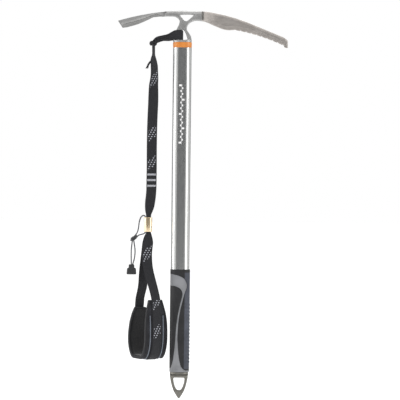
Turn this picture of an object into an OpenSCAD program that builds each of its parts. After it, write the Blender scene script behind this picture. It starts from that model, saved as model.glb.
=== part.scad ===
// Ice axe with a welded steel head, an oval aluminium shaft, a rubber grip and a wrist leash.
// The origin lies in the head's upper eye, on the shaft's centreline, where the axe hangs on a hook.
// +X runs towards the pick, +Z runs up the shaft, and the shaft's flat faces look along -Y and +Y.
// The leash is drawn hanging from the head, so its heights are measured down from the upper eye.

/* [Shaft] */
// Overall length, from the tip of the spike to the top of the head
axe_length = 650.8; // [600:0.1:750]
// Width of the oval tube, across the edge faces
shaft_w = 31; // [30:0.5:32]
// Depth of the oval tube, across the flat faces
shaft_d = 19.6; // [18:0.2:21]
// Wall thickness of the tube
shaft_wall = 1.3; // [1:0.1:2]
// Height of the spacer band under the head
band_h = 9; // [6:0.5:12]

/* [Head] */
// Thickness of the cast bridge and neck
neck_t = 13; // [11:0.5:14]
// Thickness of the pick plate along most of its length
pick_t = 4.4; // [3:0.2:6]
// Number of teeth under the pick
tooth_count = 9; // [6:1:9]
// Width of the adze across its cutting edge
adze_w = 54; // [44:1:58]
// Thickness of the adze plate
adze_t = 3.2; // [2.4:0.1:4]

/* [Grip] */
// Length of the rubber grip
grip_length = 172; // [165:1:180]
// Depth of the second-colour rubber in the grip
inlay_t = 0.5; // [0.3:0.1:0.6]
// Number of ribs on the traction pad
rib_count = 17; // [8:1:17]

/* [Leash] */
// Width of the webbing
webbing_w = 17; // [15:0.5:18]
// Thickness of the webbing
webbing_t = 1.8; // [1.2:0.1:2]
// Thickness of the cuff's foam
cuff_pad_t = 4.5; // [3:0.5:6]
// Height of the metal slider
slider_h = 24; // [20:1:26]
// Diameter of the slider's pull cord
cord_d = 1.8; // [1.2:0.1:2]

/* [Hidden] */
$fn = 64;

// Far enough to cut right through any part
reach = 60;
// Gap between parts that move against each other
gap = 0.3;
// Gap between a part and the hole that it sits in
fit = 0.05;

// Heights of the head, from the origin
head_top = 9.8;
neck_bottom = -39.5;
collar_bottom = -43;
band_bottom = collar_bottom - band_h;
tang_bottom = band_bottom - 44;
head_pin_z = band_bottom - 23;
head_pin_r = 2.5;
adze_x = -30;
pick_x = 33;

// Heights of the lower end, from the spike's tip
tip_z = head_top - axe_length;
spike_shoulder = 45;
spike_neck = 40.5;
spike_tang_top = 95;
spike_pin_h = 72;
spike_pin_r = 2;
// Depth of both pins' ends below the edge of the tube
pin_sunk = 0.3;

// Half sizes of the oval sections
shaft_x = shaft_w / 2;
shaft_y = shaft_d / 2;
bore_x = shaft_x - shaft_wall;
bore_y = shaft_y - shaft_wall;
tang_x = bore_x - fit;
tang_y = bore_y - fit;
tang_wall = 1.8;
grip_x = shaft_x + 1.1;
grip_y = shaft_y + 1.2;
grip_shift = 0.3;
grip_top = tip_z + spike_shoulder + grip_length;
// The tube is a little slimmer where the grip is glued on
grip_seat = 0.1;
rib_out = 0.6;
pad_edge = 8;
pad_bottom = 50;
pad_h = 162;

// Outline of the casting seen from the front, clockwise from its top left, and of its two eyes
casting_outline = [
    [-40, 7.6], [-21, 9.4], [-8, head_top], [14, head_top], [34, 9.3], [44, 8], [44, -10], [33, -6.4],
    [22, -5.6], [14.5, -8], [9.5, -12], [7, -17], [7.5, -23], [11.5, -28.5], [15.2, -34], [15.5, -46],
    [-15.5, -46], [-14.2, -35], [-12, -26], [-8.5, -18], [-5.8, -13], [-5.2, -8], [-6.5, -3.5],
    [-12, 0.6], [-22, 1], [-40, 0.6]
];
upper_eye = [
    [-4.5, 3.2], [-1.5, 4.2], [16.5, 4.2], [18.6, 3], [16, -0.5], [12.5, -3.2], [9, -6.6], [7, -7.6],
    [3.8, -7.6], [1.8, -5.6], [-0.6, -2.6], [-3.6, 0.2]
];
lower_eye = [
    [-2, -21], [1.5, -21], [5, -26.5], [8, -35], [8.7, -39], [-8.7, -39], [-7.8, -34], [-4.5, -25.5]
];

// Top and underside of the pick, from the bridge to the nose
pick_top = [
    [pick_x, 9], [46, 8.2], [60, 5.6], [80, 1.4], [107, -7.2], [134, -18.2], [161, -29], [172, -33.6],
    [177, -38.5]
];
pick_tip = [[177.2, -50.6], [172, -50.2]];
pick_under = [[89, -20.8], [82, -21.6], [73, -21.6], [62, -18.4], [50, -13], [40, -8.4], [pick_x, -6.4]];
// Half the thickness of the pick along it
pick_plan = [
    [pick_x, 6.4], [46, 4], [62, pick_t * 0.56], [100, pick_t / 2], [160, pick_t * 0.45], [178, 1.7]
];
tooth_start = 90;
tooth_pitch = 8.9;
tooth_crest = 6.4;
tooth_gullet = 7.9;
tooth_depth = 1.6;

// The adze is a slice of a ring: crown_r is its curve along X, and arch_r the scoop across it
crown_x = 18.3;
crown_r = 440;
crown_z = -429;
arch_r = 40;
adze_edge_r = 60;
adze_end_x = -108.2;
adze_plan = [
    [adze_x, 7], [-40, 10], [-50, 16], [-60, 21.5], [-72, 25.5], [-86, adze_w / 2], [-112, adze_w / 2]
];
adze_rib = [
    [adze_x, 7.5], [adze_x, 0.9], [-44, -0.6], [-60, -2.6], [-76, -2.2], [-76, -0.5], [-60, 2], [-44, 5]
];
adze_rib_w = 10;

// Spike outline and its eye, right half, as distance from the centreline and height above the tip
spike_outline = [[15.4, 41], [14.9, 36], [13.4, 28], [11.4, 20], [8.8, 13], [5.2, 6.5], [1.4, 0.6], [0, 0]];
spike_eye = [[0, 35.2], [8.4, 35.2], [9.3, 33], [8.6, 27], [6.6, 20], [4, 15.4], [2, 13.9], [0, 13.7]];
spike_side = [[shaft_y, 41], [6.4, 38.5], [5, 35], [4.4, 26], [3.6, 12], [1, 0]];

// Outline of the grey sweep in the grip, height above the tip, up one side and down the other
inlay_outline = [
    [-18, 210], [-9, 208.2], [-2, 206.5], [7, 201.5], [12, 195], [12.4, 189], [9.5, 180], [6, 169],
    [0.5, 145], [-2, 125], [-3, 105], [-2.3, 88], [-0.5, 70], [2, 58], [5, 52], [9, 48.5], [18, 47.5],
    [18, 45], [-18, 45], [-18, 49], [-14, 53], [-11, 63], [-9, 75], [-7, 95], [-5.5, 118],
    [-3.5, 136], [0, 155], [3, 167], [5, 175], [3.7, 181], [-0.8, 186], [-7, 189], [-18, 190]
];

// The hitch: its front view, the outside of its loop and the space inside the loop
hitch_front = [
    [1, -38.8], [-15.6, -38.8], [-20, -40.3], [-36, -40.6], [-44, -47], [-52, -44], [-47, -36], [-40, -32.2],
    [-34, -31.8], [-24.6, -29.5], [-11, -22.5], [1, -22.6]
];
hitch_loop_out = [[1, 7.4], [0, 8.6], [-2, 9], [-14, 9], [-22, 6.6], [-30, 4.4], [-52, 4]];
hitch_loop_in = [[-1, 7.1], [-14.9, 7.1], [-20, 4], [-27, 0.4]];
knot_x = -48.5;
knot_z = -44;
knot_r = 6;

// Webbing routes: x, y, z, width, thickness and turn about Z of each section
strap_route = [
    [-48.5, 0, -50.6, 8, 1.8, 60], [-48.3, 0, -57, 10, 1.8, 68], [-48.2, 0, -64, 13, 1.8, 72],
    [-48.2, 0, -72, 16, 1.8, 55], [-47, 0, -82, 17, 1.8, 48], [-46.5, 0, -94, 17, 1.8, 46],
    [-46.6, 0, -104, 17, 1.8, 39], [-47.6, 0, -114, 17, 1.8, 28], [-47.8, 0, -125, 17, 1.8, 18],
    [-47.9, 0, -136, 17, 1.8, 9], [-48.1, 0, -147, 17, 1.8, 0], [-48.8, 0, -165, 17, 1.8, 0],
    [-49.4, 0, -190, 17, 1.8, 0], [-49.6, 0, -220, 17, 1.8, 0], [-49.4, 0, -248, 17, 1.8, 0],
    [-49.4, -1, -260, 17, 1.8, 0], [-49.6, -1, -290, 17, 1.8, 0]
];
end_route = [[-49.4, 1, -260, 17, 1.8, 0], [-49.6, 1, -290, 17, 1.8, 0]];
doubled_route = [
    [-49.6, 0, -290, 17, 3.8, 0], [-50.2, 0, -300, 17, 3.8, 0], [-51.3, 0, -310, 17, 3.8, 0],
    [-52.3, 0, -320, 15.5, 3.8, 0], [-53.3, 0, -328, 12, 4.2, 0], [-53.8, 0, -334, 8.6, 4.4, 0],
    [-53.8, 0, -348, 8.6, 4.4, 0], [-53.8, 0, -363, 8.6, 4.4, 0]
];
// Each leg of the wrist loop: x of the middle, distance from it, z, width and turn
leg_route = [
    [-53.6, 1.2, -363.3, 8.6, 0], [-54.2, 1.2, -370, 13, 0], [-54.6, 1.2, -379, 16.8, 0],
    [-55.6, 1.3, -389, 17, 2], [-56.5, 1.6, -399, 17, 4], [-56.9, 3.2, -409, 17, 8],
    [-57, 5.6, -419, 17, 12], [-56.4, 8.8, -429, 17, 16], [-55.4, 12.5, -439, 17, 20],
    [-54.3, 16.5, -449, 17, 24], [-53.6, 21, -459, 17, 27], [-53.5, 25, -467, 17, 29],
    [-53.5, 28.4, -474.8, 17, 30]
];
tag_route = [[-50.5, 0, -73], [-53.5, 0, -76], [-56.5, 0, -80], [-58.6, 0, -85]];
tag_d = 3.4;
tack_z = [-265.3, -274.7, -284.3];
tack_h = 4;
tack_w = 14;
tack_out = 0.5;

// The wrist loop hangs turned about Z, so that its front leg comes forward and towards the shaft
cuff_x = -53.5;
cuff_turn = -60;
cuff_end = -475;
cuff_back_end = -490;
cuff_straight = [[27.5, cuff_end], [30, -495], [31.6, -515]];
cuff_flat = 12;
cuff_corner_x = 20;
cuff_corner_z = 38.5;
cuff_corner_top = -535;
cuff_width = [[12.5, cuff_end], [15.2, -485], [18.2, -497], [20.2, -512], [20.8, -530], [20.6, -580]];
lining_t = 0.8;
binding_w = 2.2;
binding_out = 0.5;
piping_x = 12.1;
piping_w = 1.6;
piping_out = 1.3;
piping_top = -500;

// The slider, its cord and the knot that the tails swing from
slider_x = -54.5;
slider_top = -337.5;
slider_half_x = 6.8;
slider_half_y = 4.2;
slider_wall = 0.8;
slider_lip = 0.3;
pull_knot_x = -79.5;
pull_knot_z = -374;
pull_knot_r = 5.2;
loop_route = [
    [-76.3, 0, -368.2], [-72.8, 0, -363.4], [-70.6, 0, -356], [-69.6, 0, -347], [-68, 0, -340.5],
    [-65.6, 0, -336], [-62.4, 0, -334.2], [-60.2, 0, -335], [-59.4, 0, -337.2], [-59.4, 0, -349],
    [-59.4, 0, -361.8], [-60.3, 0, -364], [-63.5, 0, -365.6], [-67.6, 0, -366.6], [-71, 0, -368.2],
    [-73.6, 0, -370.6]
];
tail_left = [[-81, 0, -379.4], [-81.9, 0, -388], [-82.3, 0, -398], [-82.2, 0, -408], [-81.9, 0, -416.7]];
tail_right = [[-78.2, 0, -379.4], [-76.4, 0, -388], [-75.9, 0, -397], [-77, 0, -407], [-79.6, 0, -416.7]];
cord_end_x = -81.6;
cord_end_top = -417;
cord_end_bottom = -433.5;
cord_end_half_top = 6;
cord_end_half_bottom = 8.2;
cord_end_t = 8;
cord_sides = 8;

// Underside of the pick between the belly and the nose
function under(x) = -20.8 - 0.165 * (x - 88) - 0.00175 * pow(x - 88, 2);

// Cuts each corner of a closed outline, for a rounder one
function rounder(p) = [
    for (i = [0:len(p) - 1])
        for (t = [0.25, 0.75])
            p[i] * (1 - t) + p[(i + 1) % len(p)] * t
];

// The same for an open line, which keeps its two ends
function softer(p) = concat(
    [p[0]],
    [for (i = [0:len(p) - 2]) for (t = [0.25, 0.75]) p[i] * (1 - t) + p[i + 1] * t],
    [p[len(p) - 1]]
);

function flip(p) = [for (i = [len(p) - 1:-1:0]) p[i]];
function mirrored(p) = [for (q = p) [-q[0], q[1]]];
function below(p) = [for (q = p) [q[0], -q[1]]];

function step_at(p, i) = p[min(i + 1, len(p) - 1)] - p[max(i - 1, 0)];
function unit(v) = v / norm(v);

// The four corners of a webbing section, whose width lies level and turns about Z
function web_ring(s) =
    let (w = [cos(s[5]), sin(s[5]), 0] * s[3] / 2)
    let (t = [-sin(s[5]), cos(s[5]), 0] * s[4] / 2)
    let (c = [s[0], s[1], s[2]])
    [c - w - t, c + w - t, c + w + t, c - w + t];

// A ring of points round a cord that runs in the XZ plane
function cord_ring(p, i, d) =
    let (along = unit(step_at(p, i)), across = [along[2], 0, -along[0]])
    [for (k = [0:cord_sides - 1])
        p[i] + (across * cos(k * 360 / cord_sides) + [0, 1, 0] * sin(k * 360 / cord_sides)) * d / 2];

// Joins rings of n points each into one closed solid
module sweep(rings, n) {
    count = len(rings);
    points = [for (r = rings) for (q = r) q];
    walls = [
        for (i = [0:count - 2])
            for (k = [0:n - 1])
                for (half = [0, 1])
                    half == 0
                        ? [i * n + k, (i + 1) * n + k, i * n + (k + 1) % n]
                        : [i * n + (k + 1) % n, (i + 1) * n + k, (i + 1) * n + (k + 1) % n]
    ];
    start = [for (k = [0:n - 1]) k];
    end = [for (k = [n - 1:-1:0]) (count - 1) * n + k];
    polyhedron(points, concat(walls, [start, end]));
}

module webbing(route) {
    sweep([for (s = route) web_ring(s)], 4);
}

module cord(route, d) {
    sweep([for (i = [0:len(route) - 1]) cord_ring(route, i, d)], cord_sides);
}

// A flat shape seen from the front, given depth along Y
module front(depth) {
    rotate([90, 0, 0]) linear_extrude(depth, center = true) children();
}

// A flat shape seen from the side, as depth and height, given width along X
module side(width) {
    rotate([90, 0, 90]) linear_extrude(width, center = true) children();
}

module from_tip(height) {
    translate([0, 0, tip_z + height]) children();
}

// An oval with flat sides across Y and round ends along X
module oval(half_x, half_y) {
    for (s = [-1, 1]) {
        translate([s * (half_x - half_y), 0]) circle(half_y);
    }
    square([2 * (half_x - half_y), 2 * half_y], center = true);
}

module oval_bar(half_x, half_y, bottom, top) {
    translate([0, 0, bottom]) linear_extrude(top - bottom) oval(half_x, half_y);
}

module cross_pin(r, half_length) {
    rotate([0, 90, 0]) cylinder(h = 2 * half_length, r = r, center = true);
}

module casting_side() {
    half = [
        [3.6, head_top + 0.1], [5.2, 8.6], [neck_t / 2, 5], [neck_t / 2, -4], [5.8, -12], [5.8, -24],
        [neck_t / 2, -34], [neck_t / 2, neck_bottom]
    ];
    polygon(concat(half, flip(mirrored(half))));
}

module head_casting() {
    color("silver") {
        difference() {
            intersection() {
                front(reach) polygon(rounder(rounder(casting_outline)));
                side(4 * reach) casting_side();
                translate([adze_x, -reach, neck_bottom]) cube([pick_x - adze_x, 2 * reach, reach]);
            }
            front(reach) polygon(rounder(upper_eye));
            front(reach) polygon(rounder(lower_eye));
        }
        oval_bar(shaft_x, shaft_y, collar_bottom, neck_bottom);
        difference() {
            oval_bar(tang_x, tang_y, tang_bottom, collar_bottom);
            oval_bar(tang_x - tang_wall, tang_y - tang_wall, tang_bottom - 1, collar_bottom - tang_wall);
            translate([0, 0, head_pin_z]) cross_pin(head_pin_r + fit, reach);
        }
    }
}

// One tooth: its crest, then the gullet towards the nose
function tooth(i) = let (x = tooth_start + tooth_pitch * i) [
    [x, under(x) - tooth_depth / 3],
    [x + tooth_crest, under(x + tooth_crest) - tooth_depth / 3],
    [x + tooth_gullet, under(x + tooth_gullet) + tooth_depth * 2 / 3]
];

module pick_side() {
    teeth = [for (i = [0:tooth_count - 1]) for (q = tooth(i)) q];
    polygon(concat(softer(softer(pick_top)), pick_tip, flip(teeth), softer(pick_under)));
}

module pick_blade() {
    color("darkgray") intersection() {
        front(reach) pick_side();
        translate([0, 0, -2 * reach]) linear_extrude(4 * reach)
            polygon(concat(pick_plan, flip(below(pick_plan))));
    }
}

module adze_blade() {
    color("silver") {
        intersection() {
            translate([crown_x, 0, crown_z]) rotate([90, 0, 0]) rotate_extrude($fn = 256) intersection() {
                difference() {
                    translate([crown_r - arch_r, 0]) circle(arch_r);
                    translate([crown_r - arch_r, 0]) circle(arch_r - adze_t);
                }
                translate([crown_r - arch_r, -arch_r]) square([2 * arch_r, 2 * arch_r]);
            }
            translate([0, 0, -reach]) linear_extrude(2 * reach) intersection() {
                polygon(concat(adze_plan, flip(below(adze_plan))));
                translate([adze_end_x + adze_edge_r, 0]) circle(adze_edge_r, $fn = 128);
            }
        }
        front(adze_rib_w) polygon(adze_rib);
    }
}

module pick_weld() {
    bead_r = 1.4;
    bead_sunk = 0.9;
    bead_low = -4;
    bead_h = 11;
    color("gray") difference() {
        for (s = [-1, 1]) {
            translate([pick_x, s * (neck_t / 2 - bead_sunk), bead_low]) cylinder(h = bead_h, r = bead_r);
        }
        translate([pick_x - reach, -neck_t / 2, -reach]) cube([reach, neck_t, 2 * reach]);
        translate([0, 0, -2 * reach]) linear_extrude(4 * reach)
            polygon(concat(pick_plan, flip(below(pick_plan))));
    }
}

module head_pin() {
    color("dimgray") translate([0, 0, head_pin_z]) cross_pin(head_pin_r, shaft_x - pin_sunk);
}

module head_band() {
    color("orange") difference() {
        oval_bar(shaft_x + 0.3, shaft_y + 0.3, band_bottom, collar_bottom);
        oval_bar(bore_x, bore_y, band_bottom - 1, collar_bottom + 1);
    }
}

module shaft_tube() {
    color("lightsteelblue") difference() {
        union() {
            oval_bar(shaft_x, shaft_y, grip_top, band_bottom);
            oval_bar(shaft_x - grip_seat, shaft_y - grip_seat, tip_z + spike_shoulder, grip_top);
        }
        oval_bar(bore_x, bore_y, tip_z + spike_shoulder - 1, band_bottom + 1);
        translate([0, 0, head_pin_z]) cross_pin(head_pin_r + fit, reach);
        from_tip(spike_pin_h) cross_pin(spike_pin_r + fit, reach);
    }
}

module spike() {
    color("gray") {
        difference() {
            intersection() {
                from_tip(0) front(reach) polygon(concat(spike_outline, flip(mirrored(spike_outline))));
                from_tip(0) side(reach) polygon(concat(spike_side, flip(mirrored(spike_side))));
                from_tip(0) translate([-reach, -reach, 0]) cube([2 * reach, 2 * reach, spike_neck]);
            }
            from_tip(0) front(reach) polygon(concat(spike_eye, flip(mirrored(spike_eye))));
        }
        from_tip(0) oval_bar(shaft_x, shaft_y, spike_neck, spike_shoulder);
        from_tip(0) difference() {
            oval_bar(tang_x, tang_y, spike_shoulder, spike_tang_top);
            oval_bar(tang_x - tang_wall, tang_y - tang_wall, spike_shoulder + tang_wall, spike_tang_top + 1);
            translate([0, 0, spike_pin_h]) cross_pin(spike_pin_r + fit, reach);
        }
    }
}

module spike_pin() {
    color("dimgray") from_tip(spike_pin_h) cross_pin(spike_pin_r, shaft_x - pin_sunk);
}

// The outer skin of the grip, as deep as the second-colour rubber
module grip_skin(extra, depth, low, high) {
    translate([grip_shift, 0, tip_z]) difference() {
        oval_bar(grip_x + extra, grip_y + extra, low, high);
        oval_bar(grip_x - depth, grip_y - depth, low - 1, high + 1);
    }
}

module inlay_space() {
    intersection() {
        grip_skin(1, inlay_t, spike_shoulder, spike_shoulder + grip_length);
        from_tip(0) front(reach) polygon(rounder(inlay_outline));
    }
}

module pad_space() {
    difference() {
        from_tip(pad_bottom) translate([pad_edge, -reach, 0]) cube([reach, 2 * reach, pad_h]);
        from_tip(0) front(reach) polygon(rounder(inlay_outline));
    }
}

module grip_sleeve() {
    color("#333333") difference() {
        translate([grip_shift, 0, tip_z])
            oval_bar(grip_x, grip_y, spike_shoulder, spike_shoulder + grip_length);
        oval_bar(shaft_x + fit, shaft_y + fit, tip_z, 0);
        inlay_space();
        intersection() {
            grip_skin(1, inlay_t, spike_shoulder, spike_shoulder + grip_length);
            pad_space();
        }
    }
}

module grip_inlay() {
    color("#85888c") intersection() {
        inlay_space();
        grip_skin(0, inlay_t, spike_shoulder, spike_shoulder + grip_length);
    }
}

module traction_pad() {
    rib_start = 60;
    rib_pitch = 6;
    rib_h = 3;
    color("#50525c") intersection() {
        union() {
            grip_skin(0, inlay_t, spike_shoulder, spike_shoulder + grip_length);
            for (i = [0:rib_count - 1]) {
                grip_skin(rib_out, inlay_t, rib_start + i * rib_pitch, rib_start + i * rib_pitch + rib_h);
            }
        }
        pad_space();
    }
}

module hitch_loop() {
    color("#333336") difference() {
        intersection() {
            front(reach) polygon(hitch_front);
            translate([0, 0, -reach]) linear_extrude(reach)
                polygon(concat(hitch_loop_out, flip(below(hitch_loop_out))));
        }
        translate([0, 0, -reach]) linear_extrude(reach)
            polygon(concat(hitch_loop_in, flip(below(hitch_loop_in))));
        translate([knot_x, 0, knot_z]) sphere(knot_r + gap);
        translate([knot_x - reach, -reach, -2 * reach]) cube([reach, 2 * reach, 4 * reach]);
    }
}

module leash_knot() {
    stub = [4.4, 6, 5];
    stub_left = 3.2;
    stub_down = 3;
    color("#2b2b2e") translate([knot_x, 0, knot_z]) {
        sphere(knot_r);
        translate([-stub[0] - stub_left, -stub[1] / 2, -stub[2] - stub_down]) cube(stub);
    }
}

module strap_upper() {
    color("#3a3a3c") webbing(strap_route);
}

module strap_tag() {
    color("#46464a") cord(tag_route, tag_d);
}

module strap_end() {
    color("#3a3a3c") webbing(end_route);
}

module bar_tacks() {
    tack_x = -49.5;
    web_out = 1 + webbing_t / 2;
    color("#9a9ca4") for (z = tack_z) {
        for (s = [-1, 1]) {
            translate([tack_x, s * (web_out + tack_out / 2), z])
                cube([tack_w, tack_out, tack_h], center = true);
        }
    }
}

module strap_doubled() {
    color("#3a3a3c") webbing(doubled_route);
}

// Webbing of one leg: side is 1 for the leg in front and -1 for the one behind
function leg(side) = [
    for (s = leg_route)
        [s[0] + side * s[1] * cos(cuff_turn), side * s[1] * sin(cuff_turn), s[2], s[3], webbing_t, s[4]]
];

module leg_front() {
    color("#3a3a3c") webbing(leg(1));
}

module leg_back() {
    color("#303032") webbing(leg(-1));
}

// The line of the cuff's outer face, from the front end round the bottom to the back end
function cuff_corner() = [for (a = [0:15:90])
    [cuff_flat + cuff_corner_x * cos(a), cuff_corner_top - cuff_corner_z * sin(a)]];
function cuff_half() = concat(cuff_straight, cuff_corner());
function cuff_line() = concat(cuff_half(), flip(mirrored(cuff_half())));
function outward(p, i) = let (v = unit(step_at(p, i))) [-v[1], v[0]];
function cuff_offset(d) = [for (i = [0:len(cuff_line()) - 1]) cuff_line()[i] + outward(cuff_line(), i) * d];

module cuff_layer(inside, outside) {
    rotate([90, 0, 0]) linear_extrude(2 * reach, center = true)
        polygon(concat(cuff_offset(outside), flip(cuff_offset(inside))));
}

// The cuff's width, seen along the loop, less an inset at each edge
module cuff_outline(inset) {
    half = [for (q = cuff_width) [q[0] - inset, q[1]]];
    rotate([90, 0, 90]) linear_extrude(2 * reach, center = true) polygon(concat(half, flip(mirrored(half))));
}

module hang_cuff() {
    translate([cuff_x, 0, 0]) rotate([0, 0, cuff_turn]) children();
}

// Room above the padded back end, where only the webbing runs
module above_back() {
    translate([-2 * reach, -reach, cuff_back_end]) cube([2 * reach, 2 * reach, 2 * reach]);
}

module cuff_pad() {
    color("#2a2a2c") hang_cuff() difference() {
        intersection() {
            cuff_layer(-cuff_pad_t, 0);
            cuff_outline(binding_w);
        }
        above_back();
    }
}

module cuff_lining() {
    color("#222224") hang_cuff() difference() {
        intersection() {
            cuff_layer(-cuff_pad_t - lining_t, -cuff_pad_t);
            cuff_outline(binding_w);
        }
        above_back();
    }
}

module cuff_binding() {
    color("#3c3c40") hang_cuff() difference() {
        intersection() {
            cuff_layer(-cuff_pad_t - lining_t, binding_out);
            cuff_outline(0);
        }
        cuff_outline(binding_w);
        above_back();
    }
}

module cuff_webbing() {
    color("#3a3a3c") hang_cuff() intersection() {
        cuff_layer(0, webbing_t);
        translate([-reach, -webbing_w / 2, -10 * reach]) cube([2 * reach, webbing_w, 10 * reach]);
    }
}

module cuff_piping() {
    color("#646e7a") hang_cuff() intersection() {
        cuff_layer(0, piping_out);
        for (s = [-1, 1]) {
            translate([-reach, s * piping_x - piping_w / 2, -10 * reach])
                cube([2 * reach, piping_w, 10 * reach + piping_top]);
        }
    }
}

module slider_sleeve() {
    lip_h = 1.2;
    bottom = slider_top - slider_h;
    color("#e8c48c") translate([slider_x, 0, 0]) difference() {
        union() {
            oval_bar(slider_half_x - slider_lip, slider_half_y - slider_lip, bottom, slider_top);
            oval_bar(slider_half_x, slider_half_y, bottom, bottom + lip_h);
            oval_bar(slider_half_x, slider_half_y, slider_top - lip_h, slider_top);
        }
        oval_bar(slider_half_x - slider_wall, slider_half_y - slider_wall, bottom - 1, slider_top + 1);
    }
}

module pull_loop() {
    color("#303034") cord(loop_route, cord_d);
}

module pull_knot() {
    color("#2a2a2e") translate([pull_knot_x, 0, pull_knot_z]) sphere(pull_knot_r);
}

module pull_tails() {
    color("#55565a") {
        cord(tail_left, cord_d);
        cord(tail_right, cord_d);
    }
}

module cord_end() {
    color("#3c3c40") front(cord_end_t) polygon([
        [cord_end_x - cord_end_half_top, cord_end_top], [cord_end_x + cord_end_half_top, cord_end_top],
        [cord_end_x + cord_end_half_bottom, cord_end_bottom],
        [cord_end_x - cord_end_half_bottom, cord_end_bottom]
    ]);
}

head_casting();
pick_blade();
adze_blade();
pick_weld();
head_pin();
head_band();
shaft_tube();
spike();
spike_pin();
grip_sleeve();
grip_inlay();
traction_pad();
hitch_loop();
leash_knot();
strap_upper();
strap_tag();
strap_end();
bar_tacks();
strap_doubled();
leg_front();
leg_back();
cuff_pad();
cuff_lining();
cuff_binding();
cuff_webbing();
cuff_piping();
slider_sleeve();
pull_loop();
pull_knot();
pull_tails();
cord_end();
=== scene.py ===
"""Ice axe with a wrist leash, hung by the eye of its head in plain studio light.

Metres throughout, in the frame of the CAD model: +X to the pick, +Z up the shaft, and the shaft's flats face
-Y and +Y. Lengths written with MM are millimetres.
"""

import bpy
import bmesh
import math
import numpy as np
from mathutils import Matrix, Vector


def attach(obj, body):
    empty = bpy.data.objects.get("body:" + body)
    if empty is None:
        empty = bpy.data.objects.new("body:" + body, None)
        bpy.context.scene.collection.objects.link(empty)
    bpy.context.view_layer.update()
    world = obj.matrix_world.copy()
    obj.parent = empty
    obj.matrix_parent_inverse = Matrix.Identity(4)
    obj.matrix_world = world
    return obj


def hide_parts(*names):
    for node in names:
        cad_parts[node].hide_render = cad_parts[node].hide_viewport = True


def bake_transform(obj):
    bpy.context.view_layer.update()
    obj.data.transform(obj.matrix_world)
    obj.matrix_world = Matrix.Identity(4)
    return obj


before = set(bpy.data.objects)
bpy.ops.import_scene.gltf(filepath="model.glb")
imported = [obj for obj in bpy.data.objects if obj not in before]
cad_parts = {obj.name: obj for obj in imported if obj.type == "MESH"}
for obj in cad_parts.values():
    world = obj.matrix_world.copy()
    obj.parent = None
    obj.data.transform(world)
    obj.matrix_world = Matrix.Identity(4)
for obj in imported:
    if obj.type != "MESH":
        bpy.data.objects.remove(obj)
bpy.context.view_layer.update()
MM = 0.001
TAU = 2 * math.pi
AXE, KNOT, LEASH, SLIDER, PULL_JOINT, PULL = "axe", "knot", "leash", "slider", "pull_joint", "pull"

# ---------------------------------------------------------------- camera, floor and light

CAMERA_AT = Vector((0.0323, -3.0, -0.3073))
VIEW_WIDTH = 0.672
SENSOR = 36
ROLL = -0.0107
FLOOR_Z, FLOOR_SIZE = -0.72, 60
CARD_AWAY, CARD_TALL, CARD_Z = 2.2, 1.7, -0.1
LIGHTS_AIM = Vector((0, 0, -0.3))


def add_camera():
    """A camera square to the axe's front, turned a little so that the shaft leans as in the photograph."""
    data = bpy.data.cameras.new("camera")
    data.sensor_width = SENSOR
    data.lens = SENSOR * -CAMERA_AT.y / VIEW_WIDTH
    camera = bpy.data.objects.new("camera", data)
    camera.location = CAMERA_AT
    camera.rotation_euler = (math.pi / 2, ROLL, 0)
    bpy.context.collection.objects.link(camera)
    bpy.context.scene.camera = camera


def srgb(red, green, blue):
    """A shader's colour from its 0 to 255 values."""
    def linear(value):
        part = value / 255
        return part / 12.92 if part <= 0.04045 else ((part + 0.055) / 1.055) ** 2.4
    return (linear(red), linear(green), linear(blue), 1)


def add_plate(name, size, location, rotation, colour, seen, glow=0.0):
    """A flat plate of the studio: its floor, or a card that only reflections see."""
    bpy.ops.mesh.primitive_plane_add(size=1, location=location, rotation=rotation)
    plate = bpy.context.object
    plate.name = name
    plate.scale = (*size, 1)
    plate.visible_camera = seen
    plate.visible_diffuse = seen
    plate.visible_shadow = seen
    material = bpy.data.materials.new(name)
    material.use_nodes = True
    shader = material.node_tree.nodes["Principled BSDF"]
    shader.inputs["Base Color"].default_value = colour
    shader.inputs["Roughness"].default_value = 0.9
    shader.inputs["Emission Color"].default_value = (1, 1, 1, 1)
    shader.inputs["Emission Strength"].default_value = glow
    plate.data.materials.append(material)
    return plate


def add_light(name, location, size, power):
    """A soft area light that looks at the middle of the axe."""
    data = bpy.data.lights.new(name, "AREA")
    data.shape = "RECTANGLE"
    data.size, data.size_y = size
    data.energy = power
    light = bpy.data.objects.new(name, data)
    light.location = location
    aim = LIGHTS_AIM - Vector(location)
    light.rotation_euler = aim.to_track_quat("-Z", "Y").to_euler()
    bpy.context.collection.objects.link(light)


def add_studio():
    """White surroundings, a pale floor, grey cards for the metal to reflect, and three soft lights."""
    world = bpy.data.worlds.new("world")
    world.use_nodes = True
    world.node_tree.nodes["Background"].inputs["Color"].default_value = (1, 1, 1, 1)
    world.node_tree.nodes["Background"].inputs["Strength"].default_value = 1.0
    bpy.context.scene.world = world
    bpy.context.scene.view_settings.view_transform = "Standard"
    add_plate("floor", (FLOOR_SIZE, FLOOR_SIZE), (0, 0, FLOOR_Z), (0, 0, 0), (0.95, 0.95, 0.95, 1), True, 0.15)
    for name, y, width, tone in (("front_card", -CARD_AWAY, 1.5, srgb(112, 113, 114)),
                                 ("back_card", CARD_AWAY, 5.4, srgb(120, 121, 123))):
        add_plate(name, (width, CARD_TALL), (0, y, CARD_Z), (math.pi / 2, 0, 0), tone, False)
    add_light("left_light", (-2.3, -0.5, -0.2), (1.8, 2.2), 33)
    add_light("right_light", (1.9, -1.5, -0.2), (0.9, 2.2), 20)
    add_light("top_light", (0.2, 0.1, 1.9), (1.6, 1.6), 24)


# ---------------------------------------------------------------- materials


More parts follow.
